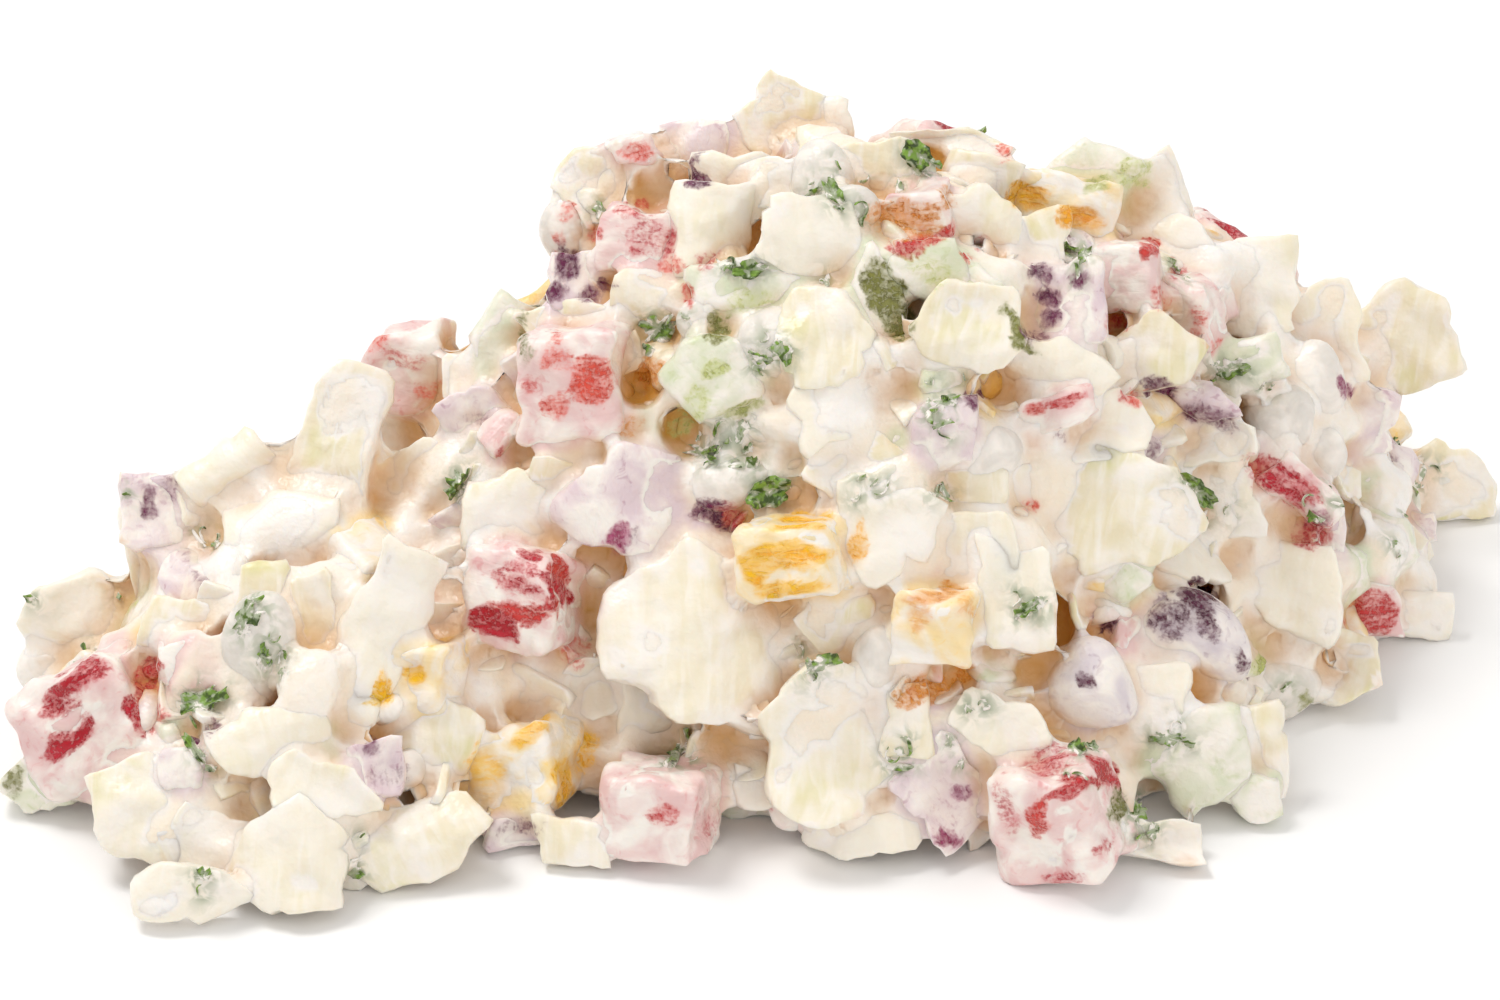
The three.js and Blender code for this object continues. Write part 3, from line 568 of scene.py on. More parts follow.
def outline(seed, size, sides, count):
    """The uneven rim of a plate: its polygon's corners cut round, then nibbled. Returns the rim and
    the point that its faces fan out from."""
    phase = math.pi / 4 if sides == 4 else 2 * math.pi * chance(seed, 8)
    angles = 2 * math.pi * np.arange(sides) / sides + phase
    reach = np.array([0.5 * (1 - PLATE_RAGGED * chance(seed, 10 + side)) for side in range(sides)])
    corners = np.column_stack([reach * np.cos(angles), reach * np.sin(angles)])
    fan = fitted(np.vstack([corners, [0, 0]]), size)
    corners, middle = fan[:-1], fan[-1]
    for cut in CORNER_CUTS:
        following = np.roll(corners, -1, axis=0)
        pair = [corners + (following - corners) * share for share in (cut, 1 - cut)]
        corners = np.stack(pair, axis=1).reshape(-1, 2)
    closed = np.vstack([corners, corners[:1]])
    reached = np.concatenate([[0], np.cumsum(np.linalg.norm(np.diff(closed, axis=0), axis=1))])
    wanted = np.arange(count) / count * reached[-1]
    rim = np.column_stack([np.interp(wanted, reached, closed[:, axis]) for axis in (0, 1)])
    return nibbled(rim, middle, seed), middle


def nibbled(rim, middle, seed):
    """Waves and a few torn notches round a rim."""
    arms = rim - middle
    shares = np.arange(len(rim)) / len(rim)
    wide = np.linalg.norm(arms, axis=1).mean()
    inward = np.zeros(len(rim))
    for change, height, length in RIM_WAVES:
        inward += height * wide * ripple(rim, seed + change, length * wide)
    for notch in range(NOTCHES):
        place = chance(seed, 80 + notch)
        breadth = drawn(NOTCH_BREADTHS, seed, 84 + notch)
        deep = wide * drawn(NOTCH_DEPTHS, seed, 88 + notch)
        apart = np.abs((shares - place + 0.5) % 1 - 0.5)
        inward += deep * np.exp(-((apart / breadth) ** 2))
    return rim - arms * (inward / np.linalg.norm(arms, axis=1))[:, None]


def plate(seed, size, sides, step, fullness, curl):
    """A many-sided slab with an uneven rounded rim, bent across a drawn direction."""
    count = int(np.clip(math.pi * (size[0] + size[1]) / 2 / step, 12, 60))
    rim, middle = outline(seed, size, sides, count)
    turns = np.radians(FINE_TURNS if step < FINE_STEP else COARSE_TURNS)
    shares = np.sin(turns) ** (2 / fullness)
    heights = np.sign(np.cos(turns)) * np.abs(np.cos(turns)) ** (2 / fullness) * size[2] / 2
    inner = np.array(INNER_RINGS if step <= SEEN_STEP else [])
    shares = np.append(shares[0] * inner, shares)
    heights = np.append(np.full(len(inner), size[2] / 2), heights)
    flat = middle + (rim - middle) * shares[:, None, None]
    rings = np.concatenate([flat, np.broadcast_to(heights[:, None, None], flat.shape[:2] + (1,))], axis=2)
    poles = [np.append(middle, size[2] / 2), np.append(middle, -size[2] / 2)]
    points, quads, triangles = ringed(rings, *poles)
    direction = math.pi * chance(seed, 9)
    bend = curl * size[0] * swing(seed, 20)
    along = points[:, 0] / size[0] * math.cos(direction) + points[:, 1] / size[1] * math.sin(direction)
    points[:, 2] += bend * (4 * along * along - 0.4)
    return points, quads, triangles


def roughened(points, seed, wavelength, height):
    """The points moved a little by smooth waves, differently along each axis."""
    waves = [ripple(points, seed + 0.1 * axis, wavelength) for axis in range(3)]
    return points + height * np.column_stack(waves)


def chip(seed, size, step):
    sides = max(4, min(7, math.floor(size[0] / CHIP_SIDE + chance(seed, 21) + 0.5)))
    fullness = drawn([4, 8], seed, 26)
    thin = size * [1, 1, CHIP_THINNESS]
    points, quads, triangles = plate(seed, thin, sides, step, fullness, PLATE_CURL)
    points[:, 2] += (size[2] - thin[2]) / 2
    points = roughened(points, seed, 7, 0.035 * radius(size) + 0.15)
    return roughened(points, seed + 0.5, 3, 0.16), quads, triangles


def slice_of_five(seed, size, step):
    points, quads, triangles = plate(seed, size, 5, step, 5, 0)
    return roughened(points, seed, 5, 0.25), quads, triangles


def rounded_box(cells, corner):
    """A unit box of square cells, its edges and corners rounded."""
    line = np.linspace(-0.5, 0.5, cells + 1)
    first, second = [grid.ravel() for grid in np.meshgrid(line, line, indexing="ij")]
    index = np.arange((cells + 1) ** 2).reshape(cells + 1, cells + 1)
    square = np.column_stack([
        index[:-1, :-1].ravel(), index[1:, :-1].ravel(), index[1:, 1:].ravel(), index[:-1, 1:].ravel()
    ])
    walls, quads = [], []
    for axis in range(3):
        for side in (-0.5, 0.5):
            wall = np.empty((len(first), 3))
            wall[:, axis] = side
            wall[:, (axis + 1) % 3] = first
            wall[:, (axis + 2) % 3] = second
            quads.append((square if side > 0 else square[:, ::-1]) + len(walls) * len(first))
            walls.append(wall)
    points, shared = np.unique(np.round(np.vstack(walls), 9), axis=0, return_inverse=True)
    inner = np.clip(points, corner - 0.5, 0.5 - corner)
    outward = points - inner
    length = np.linalg.norm(outward, axis=1, keepdims=True)
    rounded = inner + outward / np.maximum(length, 1e-9) * corner
    return rounded, shared.ravel()[np.vstack(quads)]


def cube(seed, size, step):
    """A diced cube with soft edges, a little out of true."""
    cells = int(np.clip(1.6 * size[0] / step, 8, 22))
    points, quads = rounded_box(cells, 0.14)
    skew_x = 0.2 * swing(seed, 23)
    skew_y = 0.2 * swing(seed, 24)
    taper = 0.18 * chance(seed, 25)
    points[:, 0] += skew_x * points[:, 1]
    points[:, 1] += skew_y * points[:, 0]
    points[:, 0] *= 1 - taper * (points[:, 1] + 0.5)
    points = roughened(fitted(points, size), seed, 6, 0.65)
    return roughened(points, seed + 0.5, 2.5, 0.2), quads, np.empty((0, 3), int)


def ball(around, rings):
    """A unit sphere of rings, its poles at the ends of x."""
    lift = math.pi * (np.arange(rings) + 1) / (rings + 1)
    turn = 2 * math.pi * np.arange(around) / around
    circle = np.stack([np.cos(turn), np.sin(turn)], axis=1)
    rings_out = 0.5 * np.sin(lift)[:, None, None] * circle[None]
    along = np.broadcast_to(0.5 * np.cos(lift)[:, None, None], rings_out.shape[:2] + (1,))
    return ringed(np.concatenate([along, rings_out], axis=2), [0.5, 0, 0], [-0.5, 0, 0])


def bean(seed, size, step):
    """A rounded bean, bent round the hollow in its upper side."""
    around = int(np.clip(2.5 * size[1] / step, 12, 32))
    points, quads, triangles = ball(around, around * 3 // 4)
    points[:, 1] -= 0.9 * points[:, 0] ** 2
    return roughened(fitted(points, size), seed, 7, 0.3), quads, triangles


def blob(seed, size, step):
    around = int(np.clip(2.5 * size[1] / step, 10, 26))
    points, quads, triangles = ball(around, around * 3 // 4)
    points = points * (1 + 0.16 * ripple(points, seed, 0.8))[:, None]
    return fitted(points, size), quads, triangles


SHAPES = {
    "cabbage": chip,
    "lump": blob,
    "red_pepper": cube,
    "yellow_pepper": cube,
    "red_onion": chip,
    "cucumber": slice_of_five,
    "kidney_bean": bean,
}


# Meshes


def in_metres(points):
    """Layout points as one run of metres, as a mesh stores them."""
    return ((points - FOOTPRINT_MIDDLE) * METRE).astype(np.float32).ravel()


def mesh_object(name, points, quads, triangles, fields=None):
    """A mesh object from layout points in millimetres, with named values on its points."""
    mesh = bpy.data.meshes.new(name)
    mesh.vertices.add(len(points))
    mesh.vertices.foreach_set("co", in_metres(points))
    corners = np.concatenate([quads.ravel(), triangles.ravel()])
    totals = np.concatenate([np.full(len(quads), 4), np.full(len(triangles), 3)])
    mesh.loops.add(len(corners))
    mesh.loops.foreach_set("vertex_index", corners.astype(np.int32))
    mesh.polygons.add(len(totals))
    mesh.polygons.foreach_set("loop_start", (np.cumsum(totals) - totals).astype(np.int32))
    mesh.update(calc_edges=True)
    mesh.validate()
    set_fields(mesh, fields or {})
    mesh.shade_smooth()
    thing = bpy.data.objects.new(name, mesh)
    bpy.context.scene.collection.objects.link(thing)
    return thing


def set_fields(mesh, fields):
    for name, values in fields.items():
        kind = "FLOAT_VECTOR" if values.ndim == 2 else "FLOAT"
        field = mesh.attributes.new(name, kind, "POINT")
        field.data.foreach_set("vector" if values.ndim == 2 else "value", values.astype(np.float32).ravel())


def read_values(items, name, width=1, kind=np.float32):
    """A number, or a row of numbers, from each of a mesh's points, edges, corners or faces."""
    values = np.empty(width * len(items), kind)
    items.foreach_get(name, values)
    return values.reshape(-1, width) if width > 1 else values


def mesh_points(mesh):
    """The mesh's points in the layout frame, in millimetres, and their normals."""
    points = read_values(mesh.vertices, "co", 3)
    return points / METRE + FOOTPRINT_MIDDLE, read_values(mesh.vertex_normals, "vector", 3)


def set_points(mesh, points):
    mesh.vertices.foreach_set("co", in_metres(points))
    mesh.update()


# The lowest point that a piece may have, just over the ground
LEAST_HEIGHT = 0.02

# How far apart two pieces may lie in the noise that colours them
PLACE_SPREAD = 40


class Batch:
    """The points, faces and values of many pieces that become one mesh."""

    def __init__(self):
        self.points, self.quads, self.triangles = [], [], []
        self.fields = {"place": [], "tint": [], "seen": []}
        self.total = 0

    def add(self, piece, points, quads, triangles):
        start = PLACE_SPREAD * np.array([chance(piece["seed"], draw) for draw in (31, 32, 33)])
        self.points.append(points @ piece["axes"].T + piece["spot"])
        self.quads.append(quads + self.total)
        self.triangles.append(triangles + self.total)
        self.fields["place"].append(points + start)
        self.fields["tint"].append(np.full(len(points), chance(piece["seed"], 34)))
        self.fields["seen"].append(np.full(len(points), float(piece["seen"])))
        self.total += len(points)

    def made(self, name):
        points = np.vstack(self.points)
        points[:, 2] = np.maximum(points[:, 2], LEAST_HEIGHT)
        fields = {field: np.concatenate(values) for field, values in self.fields.items()}
        return mesh_object(name, points, np.vstack(self.quads), np.vstack(self.triangles), fields)


def piece_objects(pieces):
    batches = {}
    for piece in pieces:
        shape = SHAPES[piece["kind"]](piece["seed"], piece["size"], piece["step"])
        batches.setdefault(piece["kind"], Batch()).add(piece, *shape)
    return {kind: batch.made(kind) for kind, batch in batches.items()}


# Where the pieces show bare of dressing


def bare_and_shade_marks(points, normals):
    """How bare each point is as seen from the front, and the colour of the skin that shows there; one patch
    lays amber painted shade instead.
    """
    across, up = view_place(points)
    across = across + WIPED_WANDER * ripple(points, WANDER_SEEDS[0], WANDER_LENGTH)
    up = up + WIPED_WANDER * ripple(points, WANDER_SEEDS[1], WANDER_LENGTH)
    share = np.zeros(len(points))
    least = np.full(len(points), np.inf)
    skin = np.zeros((len(points), 3))
    for kind, patches in BARE_AND_SHADE_PATCHES.items():
        for middle_across, middle_up, long, wide, turn, amount, *ripe in patches:
            along, aside = turned_offsets(across, up, middle_across, middle_up, turn)
            outward = (2 * along / (long + WIPED_FRINGE)) ** 2 + (2 * aside / (wide + WIPED_FRINGE)) ** 2
            share = np.maximum(share, amount * (1 - smooth_step(*PATCH_EDGE, outward)))
            closer = outward < least
            least[closer] = outward[closer]
            skin[closer] = skin_colour(kind, *ripe)
    return share * smooth_step(*PATCH_FACINGS, normals @ TO_EYE), skin


def skin_colour(kind, ripe=0):
    colours = [np.array(linear(*COATED[kind][name])[:3]) for name in ("bare", "ripe")]
    return between(colours, ripe)


# The dressing: a closed skin over the pieces and the core that fills the narrow gaps

# Blobs of dressing: how many are tried, their lengths, how far out their middles lie, how bare the
# heap may be there, and how fine they are
DOLLOP_SEED = 80000
DOLLOP_TRIALS = 520
DOLLOP_LENGTHS = [3, 9]
DOLLOP_RISES = [-0.5, 2.2]
DOLLOP_BAREST = 0.1
DOLLOP_STEP = 1.2

# The skin: its voxels, half the width of the gaps that it fills, more on the flanks, which are where
# the heap faces away from the eye, and how far it is drawn in, more where the pieces are bare
DRESSING_VOXEL = 0.65
DRESSING_REACHES = [0.45, 1.15]
REACH_SEED, REACH_LENGTH = 901, 15
FLANK_REACH = 1.1
FLANK_FACINGS = (0.25, 0.65)
DRESSING_SINKS = [-0.08, 0.38]
SINK_SEED, SINK_LENGTH = 902, 9
WIPED_SINK = 0.8
DRESSING_TRIANGLES = 190000

# How far over a piece the dressing starts and ends to coat it, and the same for the herbs
CREAM_REACH = (-0.05, 0.13)
HERB_CREAM_REACH = (0.05, 0.6)

# Dents, where warm shade is painted: the rounds of smoothing that they are measured against, and their depths
HOLLOW_ROUNDS = 40
HOLLOW_DEPTHS = (0.2, 1.9)


def core_object():
    """The mass under the pieces, drawn in from the heap's form."""
    angles = 2 * math.pi * np.arange(CORE_SPOKES) / CORE_SPOKES
    rims = np.array([flank_point(angle, 0, CORE_INSET) for angle in angles])
    shares = np.linspace(0, 1, CORE_RINGS + 1)[1:, None, None]
    flat = np.array(CORE_AXIS) + shares * (rims - np.array(CORE_AXIS))
    high = np.maximum(CORE_LEAST_HEIGHT, heap_height(flat[..., 0], flat[..., 1], CORE_INSET))
    rings = np.concatenate([flat, high[..., None]], axis=2)
    base = rings[-1:].copy()
    base[..., 2] = 0
    top = [*CORE_AXIS, float(heap_height(*CORE_AXIS, CORE_INSET))]
    points, quads, triangles = ringed(np.concatenate([rings, base]), top, [*CORE_AXIS, 0])
    return mesh_object("core", points, quads, triangles)


def dollops():
    """Blobs of dressing on and between the pieces, which give the dressing its lumps."""
    batch = Batch()
    for trial in range(DOLLOP_TRIALS):
        seed = DOLLOP_SEED + trial
        x, y = scatter_point(seed)
        high = float(heap_height(x, y))
        if high < SCATTER_LEAST_HEIGHT:
            continue
        spot, facing = surface_spot(x, y, high, drawn(DOLLOP_RISES, seed, 7))
        if bare_and_shade_marks(spot[None], facing[None])[0] > DOLLOP_BAREST:
            continue
        long = between(DOLLOP_LENGTHS, chance(seed, 4) ** 1.5)
        wide = long * drawn([0.5, 0.9], seed, 5)
        deep = long * drawn([0.3, 0.55], seed, 6)
        piece = dict(seed=seed, spot=spot, axes=stance(facing, 360 * chance(seed, 8), 0, 0), seen=False)
        batch.add(piece, *blob(seed, np.array([long, wide, deep]), DOLLOP_STEP))
    return batch.made("dollops")


def modified(mesh, kind, **settings):
    """A new mesh: the given one with one modifier applied."""
    thing = bpy.data.objects.new("modified", mesh)
    bpy.context.scene.collection.objects.link(thing)
    modifier = thing.modifiers.new("change", kind)
    for name, value in settings.items():
        setattr(modifier, name, value)
    shown = thing.evaluated_get(bpy.context.evaluated_depsgraph_get())
    made = bpy.data.meshes.new_from_object(shown)
    bpy.data.objects.remove(thing)
    return made


def remeshed(mesh, voxel):
    """The outer skin of everything in a mesh."""
    return modified(mesh, "REMESH", mode="VOXEL", voxel_size=voxel * METRE)


def thinned(mesh, triangles):
    """The mesh with its least needed points taken away, down to a number of triangles."""
    mesh.calc_loop_triangles()
    share = triangles / len(mesh.loop_triangles)
    return modified(mesh, "DECIMATE", ratio=share) if share < 1 else mesh


def joined_mesh(things):
    """One mesh of all the things' points and faces."""
    points, quads, triangles, total = [], [], [], 0
    for thing in things:
        mesh = thing.data
        points.append(mesh_points(mesh)[0])
        corners = read_values(mesh.loops, "vertex_index", kind=np.int32)
        totals = read_values(mesh.polygons, "loop_total", kind=np.int32)
        split = 4 * np.count_nonzero(totals == 4)
        quads.append(corners[:split].reshape(-1, 4) + total)
        triangles.append(corners[split:].reshape(-1, 3) + total)
        total += len(mesh.vertices)
    thing = mesh_object("joined", np.vstack(points), np.vstack(quads), np.vstack(triangles))
    mesh = thing.data
    bpy.data.objects.remove(thing)
    return mesh


def grown(mesh, distance):
    """The mesh moved out along its normals, by a distance worked out for each point."""
    points, normals = mesh_points(mesh)
    set_points(mesh, points + normals * distance(points, normals)[:, None])
    return mesh


def relaxed_points(mesh, rounds):
    """The mesh's points, each moved half way to the middle of its neighbours, a few times."""
    edges = read_values(mesh.edges, "vertices", 2, np.int32)
    first, second = edges.T
    count = np.bincount(edges.ravel(), minlength=len(mesh.vertices))[:, None]
    points = mesh_points(mesh)[0]
    for _ in range(rounds):
        total = np.empty_like(points)
        for axis in range(3):
            total[:, axis] = np.bincount(first, points[second, axis], len(points))
            total[:, axis] += np.bincount(second, points[first, axis], len(points))
        points = (points + total / np.maximum(count, 1)) / 2
    return points


def smoothed(mesh, rounds):
    set_points(mesh, relaxed_points(mesh, rounds))
    return mesh


def dent_shade_share(mesh):
    """How deep each point lies in a dent of the skin, from 0 to 1, which is the share of painted shade there.
    """
    points, normals = mesh_points(mesh)
    dent = np.sum((relaxed_points(mesh, HOLLOW_ROUNDS) - points) * normals, axis=1)
    return smooth_step(*HOLLOW_DEPTHS, dent)


def dressing_reach(points, normals):
    """Half the width of the gaps that the dressing fills, which differs from place to place and is
    more where the pieces stand edge-on."""
    flank = 1 - smooth_step(*FLANK_FACINGS, heap_normal(points[:, 0], points[:, 1]) @ TO_EYE)
    waves = ripple(points, REACH_SEED, REACH_LENGTH)
    return between(DRESSING_REACHES, smooth_step(-1, 1, waves)) + FLANK_REACH * flank


def dressing_fall(points, normals):
    """How far the dressing is drawn back in: over the pieces at some places, and well under them
    where they are bare."""
    sink = between(DRESSING_SINKS, smooth_step(-1.1, 0.4, ripple(points, SINK_SEED, SINK_LENGTH)))
    sink += WIPED_SINK * bare_and_shade_marks(points, normals)[0]
    return -dressing_reach(points, normals) - sink


def dressing_object(things):
    under = [core_object(), dollops()]
    skin = remeshed(joined_mesh([*things, *under]), DRESSING_VOXEL)
    for thing in under:
        bpy.data.objects.remove(thing)
    skin = remeshed(grown(skin, dressing_reach), DRESSING_VOXEL)
    skin = smoothed(grown(skin, dressing_fall), 2)
    skin = thinned(skin, DRESSING_TRIANGLES)
    points, _ = mesh_points(skin)
    points[:, 2] = np.maximum(points[:, 2], 0)
    set_points(skin, points)
    # How deep each point lies in a dent, which sets the painted shade there
    set_fields(skin, {"place": points, "hollow": dent_shade_share(skin)})
    skin.shade_smooth()
    skin.name = "dressing"
    thing = bpy.data.objects.new("dressing", skin)
    bpy.context.scene.collection.objects.link(thing)
    return thing


# The herbs: flakes, curls and snips of leaf that lie half in the dressing

# Whole leaves, as seen from the front: across, up, size, turn in degrees
HERB_LEAVES = [
    [-59, -22, 6, 20], [-31, 1.5, 4.5, 80], [-10, 18.5, 5.5, 20], [12, 39, 4.5, -10],
    [18, 37.3, 4.5, -35], [34, 27, 4.5, 0], [48, 1, 6, -30], [-5, 5, 6.5, 0], [2, 1, 6, 10],
    [-7, -27, 4.5, 0], [20, 0.5, 4, 0], [41.5, -34, 5, 90], [-54.5, -12.5, 4, 60], [0, 24.8, 4, 10],
    [52, 14, 4.5, 0], [9, 33, 4.5, -60], [-52.5, -17, 4, 80], [30, -12, 3.5, 40], [8, -17.5, 4, 10],
    [45, -25.7, 4, 0], [-60, -27, 4, -50], [3, 16, 4, 30], [21, 10.5, 4, 20], [-1, 7, 4.5, 60],
]

# Where small bits of herb lie together, as seen from the front
HERB_CLUSTERS = [
    [-59, -22], [-54.5, -12.5], [-53, -15.5], [-52, -18], [-58, -29], [-60, -41], [-31, 1.5],
    [-10, 18.5], [8, 35], [11, 31], [12, 39.5], [18, 37.3], [14, 33], [34, 27], [37, 26.5],
    [46, 25], [47, 1.5], [50, 0], [52, 14], [56, 12], [73, 2.5], [62, 0], [57, -20.5], [-5, 4],
    [-4, 7], [2, 1], [3, 17], [-1, 25], [9, 23], [21, 12.5], [19, 9], [20, 0.5], [13, 1.5],
    [-7, -27], [-9, -28], [7, -17], [30, -12], [24, -21], [21, -27], [16, -27], [34, -28],
    [45, -26], [42, -34], [36, -28], [70, -4], [-43, -38.5], [0, 5.5], [-8, 19.5], [1.5, 16.5],
]

# Seeds of the clusters, the stray bits, the leaves and the single bits
HERB_SEED = 60000
STRAY_SEED = 61000
LEAF_SEED = 63000
BIT_SEED = 65000

# Strays are tried where the heap turns away from the eye, and bits are dropped from over the skin
HERB_STRAYS = 300
STRAY_FACING = 0.3
STRAY_HEIGHT = 20
BIT_HEIGHT = 6

# How many bits lie in a cluster, how far apart, how thick they are, and how far they stain
HERB_BITS = [2, 5]
HERB_SPREAD = 2
HERB_HALF_THICK = 0.13
HERB_STAIN = 0.8


def first_hit(trees, origin, direction):
    """Where a line first meets one of the skins, and the skin's normal there."""
    hits = [tree.ray_cast(origin, direction) for tree in trees.values()]
    met = [hit for hit in hits if hit[0] is not None]
    if not met:
        return None
    place, normal, _, _ = min(met, key=lambda hit: hit[3])
    return np.array(place), np.array(normal)


def sighted(trees, across, up):
    """Where the sight line through a view point meets the skins."""
    eye = AIM + TO_EYE * EYE_DISTANCE
    return first_hit(trees, Vector(eye), Vector(AIM + VIEW_RIGHT * across + VIEW_UP * up - eye))


def herb_clusters(trees):
    """Spots with small bits of herb, and how many: the listed ones in front, and strays all round."""
    clusters = []
    for across, up in HERB_CLUSTERS:
        met = sighted(trees, across, up)
        if met:
            clusters.append((met[0], drawn(HERB_BITS, HERB_SEED + len(clusters), 1)))
    for stray in range(HERB_STRAYS):
        seed = STRAY_SEED + stray
        x, y = scatter_point(seed)
        high = float(heap_height(x, y))
        facing = heap_normal(x, y)
        if high > SCATTER_LEAST_HEIGHT and facing @ TO_EYE < STRAY_FACING:
            over = np.array([x, y, high]) + facing * STRAY_HEIGHT
            met = first_hit(trees, Vector(over), Vector(-facing))
            if met:
                clusters.append((met[0], 1 + 4 * chance(seed, 3) ** 2))
    return clusters


def leaf(seed, size):
    """A thin lobed leaf, folded along its middle, with a ruffled rim."""
    around = 30
    turn = 2 * math.pi * np.arange(around) / around
    lobes = 2 + math.floor(3 * chance(seed, 8))
    reach = 0.62 + 0.38 * np.abs(np.cos(lobes * turn / 2 + 6 * chance(seed, 9))) ** 0.7
    reach *= 1 + 0.08 * np.sin(9 * turn + 6 * chance(seed, 10))
    narrow = drawn([0.35, 0.7], seed, 11)
    rim = np.column_stack([reach * np.cos(turn), narrow * reach * np.sin(turn)]) / 2
    shares = np.array([0.35, 0.7, 1, 1, 0.7, 0.35])
    flat = size * rim * shares[:, None, None]
    far = shares[:, None] * reach
    fold = drawn([-0.9, 0.9], seed, 12) * np.abs(flat[..., 1])
    bend = drawn([-0.12, 0.12], seed, 13) * flat[..., 0] ** 2
    ruffle = 0.1 * size * far**2 * np.sin(2 * lobes * turn + 6 * chance(seed, 14))
    sides = HERB_HALF_THICK * np.array([1, 1, 0.5, -0.5, -1, -1])[:, None]
    rings = np.concatenate([flat, (fold + bend + ruffle + sides)[..., None]], axis=2)
    return ringed(rings, [0, 0, HERB_HALF_THICK], [0, 0, -HERB_HALF_THICK])


def curl(seed, size):
    """A thin strip of leaf bent along an arc, standing on its edge."""
    sections = 10
    arc = np.linspace(0, drawn([1.2, 4.2], seed, 8), sections)
    widening = 1 + 0.3 * np.sin(2 * arc + 6 * chance(seed, 10))
    reach = size / 2 * drawn([0.55, 1], seed, 9) * widening
    swell = np.sqrt(np.sin(np.linspace(0.12, math.pi - 0.12, sections)))
    corner = np.radians(60 * np.arange(6))
    out = reach[:, None] + HERB_HALF_THICK * swell[:, None] * np.cos(corner)
    wave = 0.2 * np.sin(1.5 * arc + 5 * chance(seed, 11))
    lift = 0.36 * swell[:, None] * np.sin(corner) + wave[:, None]
    rings = np.stack([out * np.cos(arc)[:, None], out * np.sin(arc)[:, None], lift], axis=2)
    points, quads, triangles = ringed(rings, rings[0].mean(axis=0), rings[-1].mean(axis=0))
    return points - points.mean(axis=0), quads, triangles


def snip(seed, size):
    """A short bent strip of stem or leaf."""
    sections = 8
    along = np.linspace(0.5, -0.5, sections)
    swell = np.sqrt(1.02 - (2 * along) ** 4)[:, None]
    turn = np.radians(45 * np.arange(8))
    wide = size * drawn([0.06, 0.16], seed, 8) * swell
    bend = size * drawn([-0.5, 0.5], seed, 9) * along[:, None] ** 2
    rings = np.stack([
        np.broadcast_to(size * along[:, None], (sections, len(turn))),
        bend + wide * np.cos(turn),
        0.4 * bend + HERB_HALF_THICK * swell * np.sin(turn),
    ], axis=2)
    return ringed(rings, rings[0].mean(axis=0), rings[-1].mean(axis=0))


HERB_SHAPES = [(leaf, [1.6, 3.4]), (curl, [1.6, 3.2]), (curl, [1.4, 2.6]), (snip, [1.6, 4.4])]


def herb_bit(seed, met, turn, tilts, sink):
    return dict(
        seed=seed,
        spot=met[0] + met[1] * sink,
        axes=stance(met[1], turn, *tilts),
        seen=True,
    )


def add_leaves(batch, trees):
    for number, (across, up, size, turn) in enumerate(HERB_LEAVES):
        seed = LEAF_SEED + number
        met = sighted(trees, across, up)
        if met:
            tilts = [20 * swing(seed, draw) for draw in (5, 6)]
            batch.add(herb_bit(seed, met, turn, tilts, 0.2), *leaf(seed, size))


def add_bits(batch, trees):
    for number, (spot, bits) in enumerate(herb_clusters(trees)):
        facing = heap_normal(spot[0], spot[1]) + TO_EYE
        facing /= np.linalg.norm(facing)
        for bit in range(math.floor(bits)):
            seed = BIT_SEED + 20 * number + bit
            apart = HERB_SPREAD * np.array([swing(seed, draw) for draw in (1, 2, 3)])
            met = first_hit(trees, Vector(spot + apart + facing * BIT_HEIGHT), Vector(-facing))
            if met is None:
                continue
            shape, sizes = HERB_SHAPES[seed % len(HERB_SHAPES)]
            size = between(sizes, chance(seed, 4) ** 1.5)
            tilts = [45 * swing(seed, draw) for draw in (5, 6)]
            sink = drawn([-0.2, 0.2], seed, 15)
            batch.add(herb_bit(seed, met, 360 * chance(seed, 7), tilts, sink), *shape(seed, size))


def herb_object(trees):
    batch = Batch()
    add_leaves(batch, trees)
    add_bits(batch, trees)
    return batch.made("herb")


# Values on the points that the materials read

# The waves that lay the scattered pieces bare, and from where to where they do
UNSEEN_SEED, UNSEEN_LENGTH = 7.5, 8
UNSEEN_BARE = (0.35, 1.15)

# How far over a dent the pieces start and end to lose its painted shade
DENT_SHADE_REACH = (0.2, 1)


def triangle_corners(mesh):
    mesh.calc_loop_triangles()
    return read_values(mesh.loop_triangles, "vertices", 3, np.int32)


def tree_of(mesh):
    points = mesh_points(mesh)[0]
    return BVHTree.FromPolygons(points.tolist(), triangle_corners(mesh).tolist())


def field_values(mesh, name, width=1):
    return read_values(mesh.attributes[name].data, "vector" if width == 3 else "value", width)


def nearest(points, tree):
    """For each point: its distance from a skin, how far it lies outside, and the nearest face."""
    distances = np.empty(len(points))
    heights = np.empty(len(points))
    faces = np.empty(len(points), int)
    for index, point in enumerate(points):
        place, normal, faces[index], distances[index] = tree.find_nearest(point)
        heights[index] = (Vector(point) - place).dot(normal)
    return distances, heights, faces


def near_herbs(points, herb_tree):
    """From 0 to 1, how near each point lies to a bit of herb."""
    return np.exp(-nearest(points, herb_tree)[0] / HERB_STAIN)


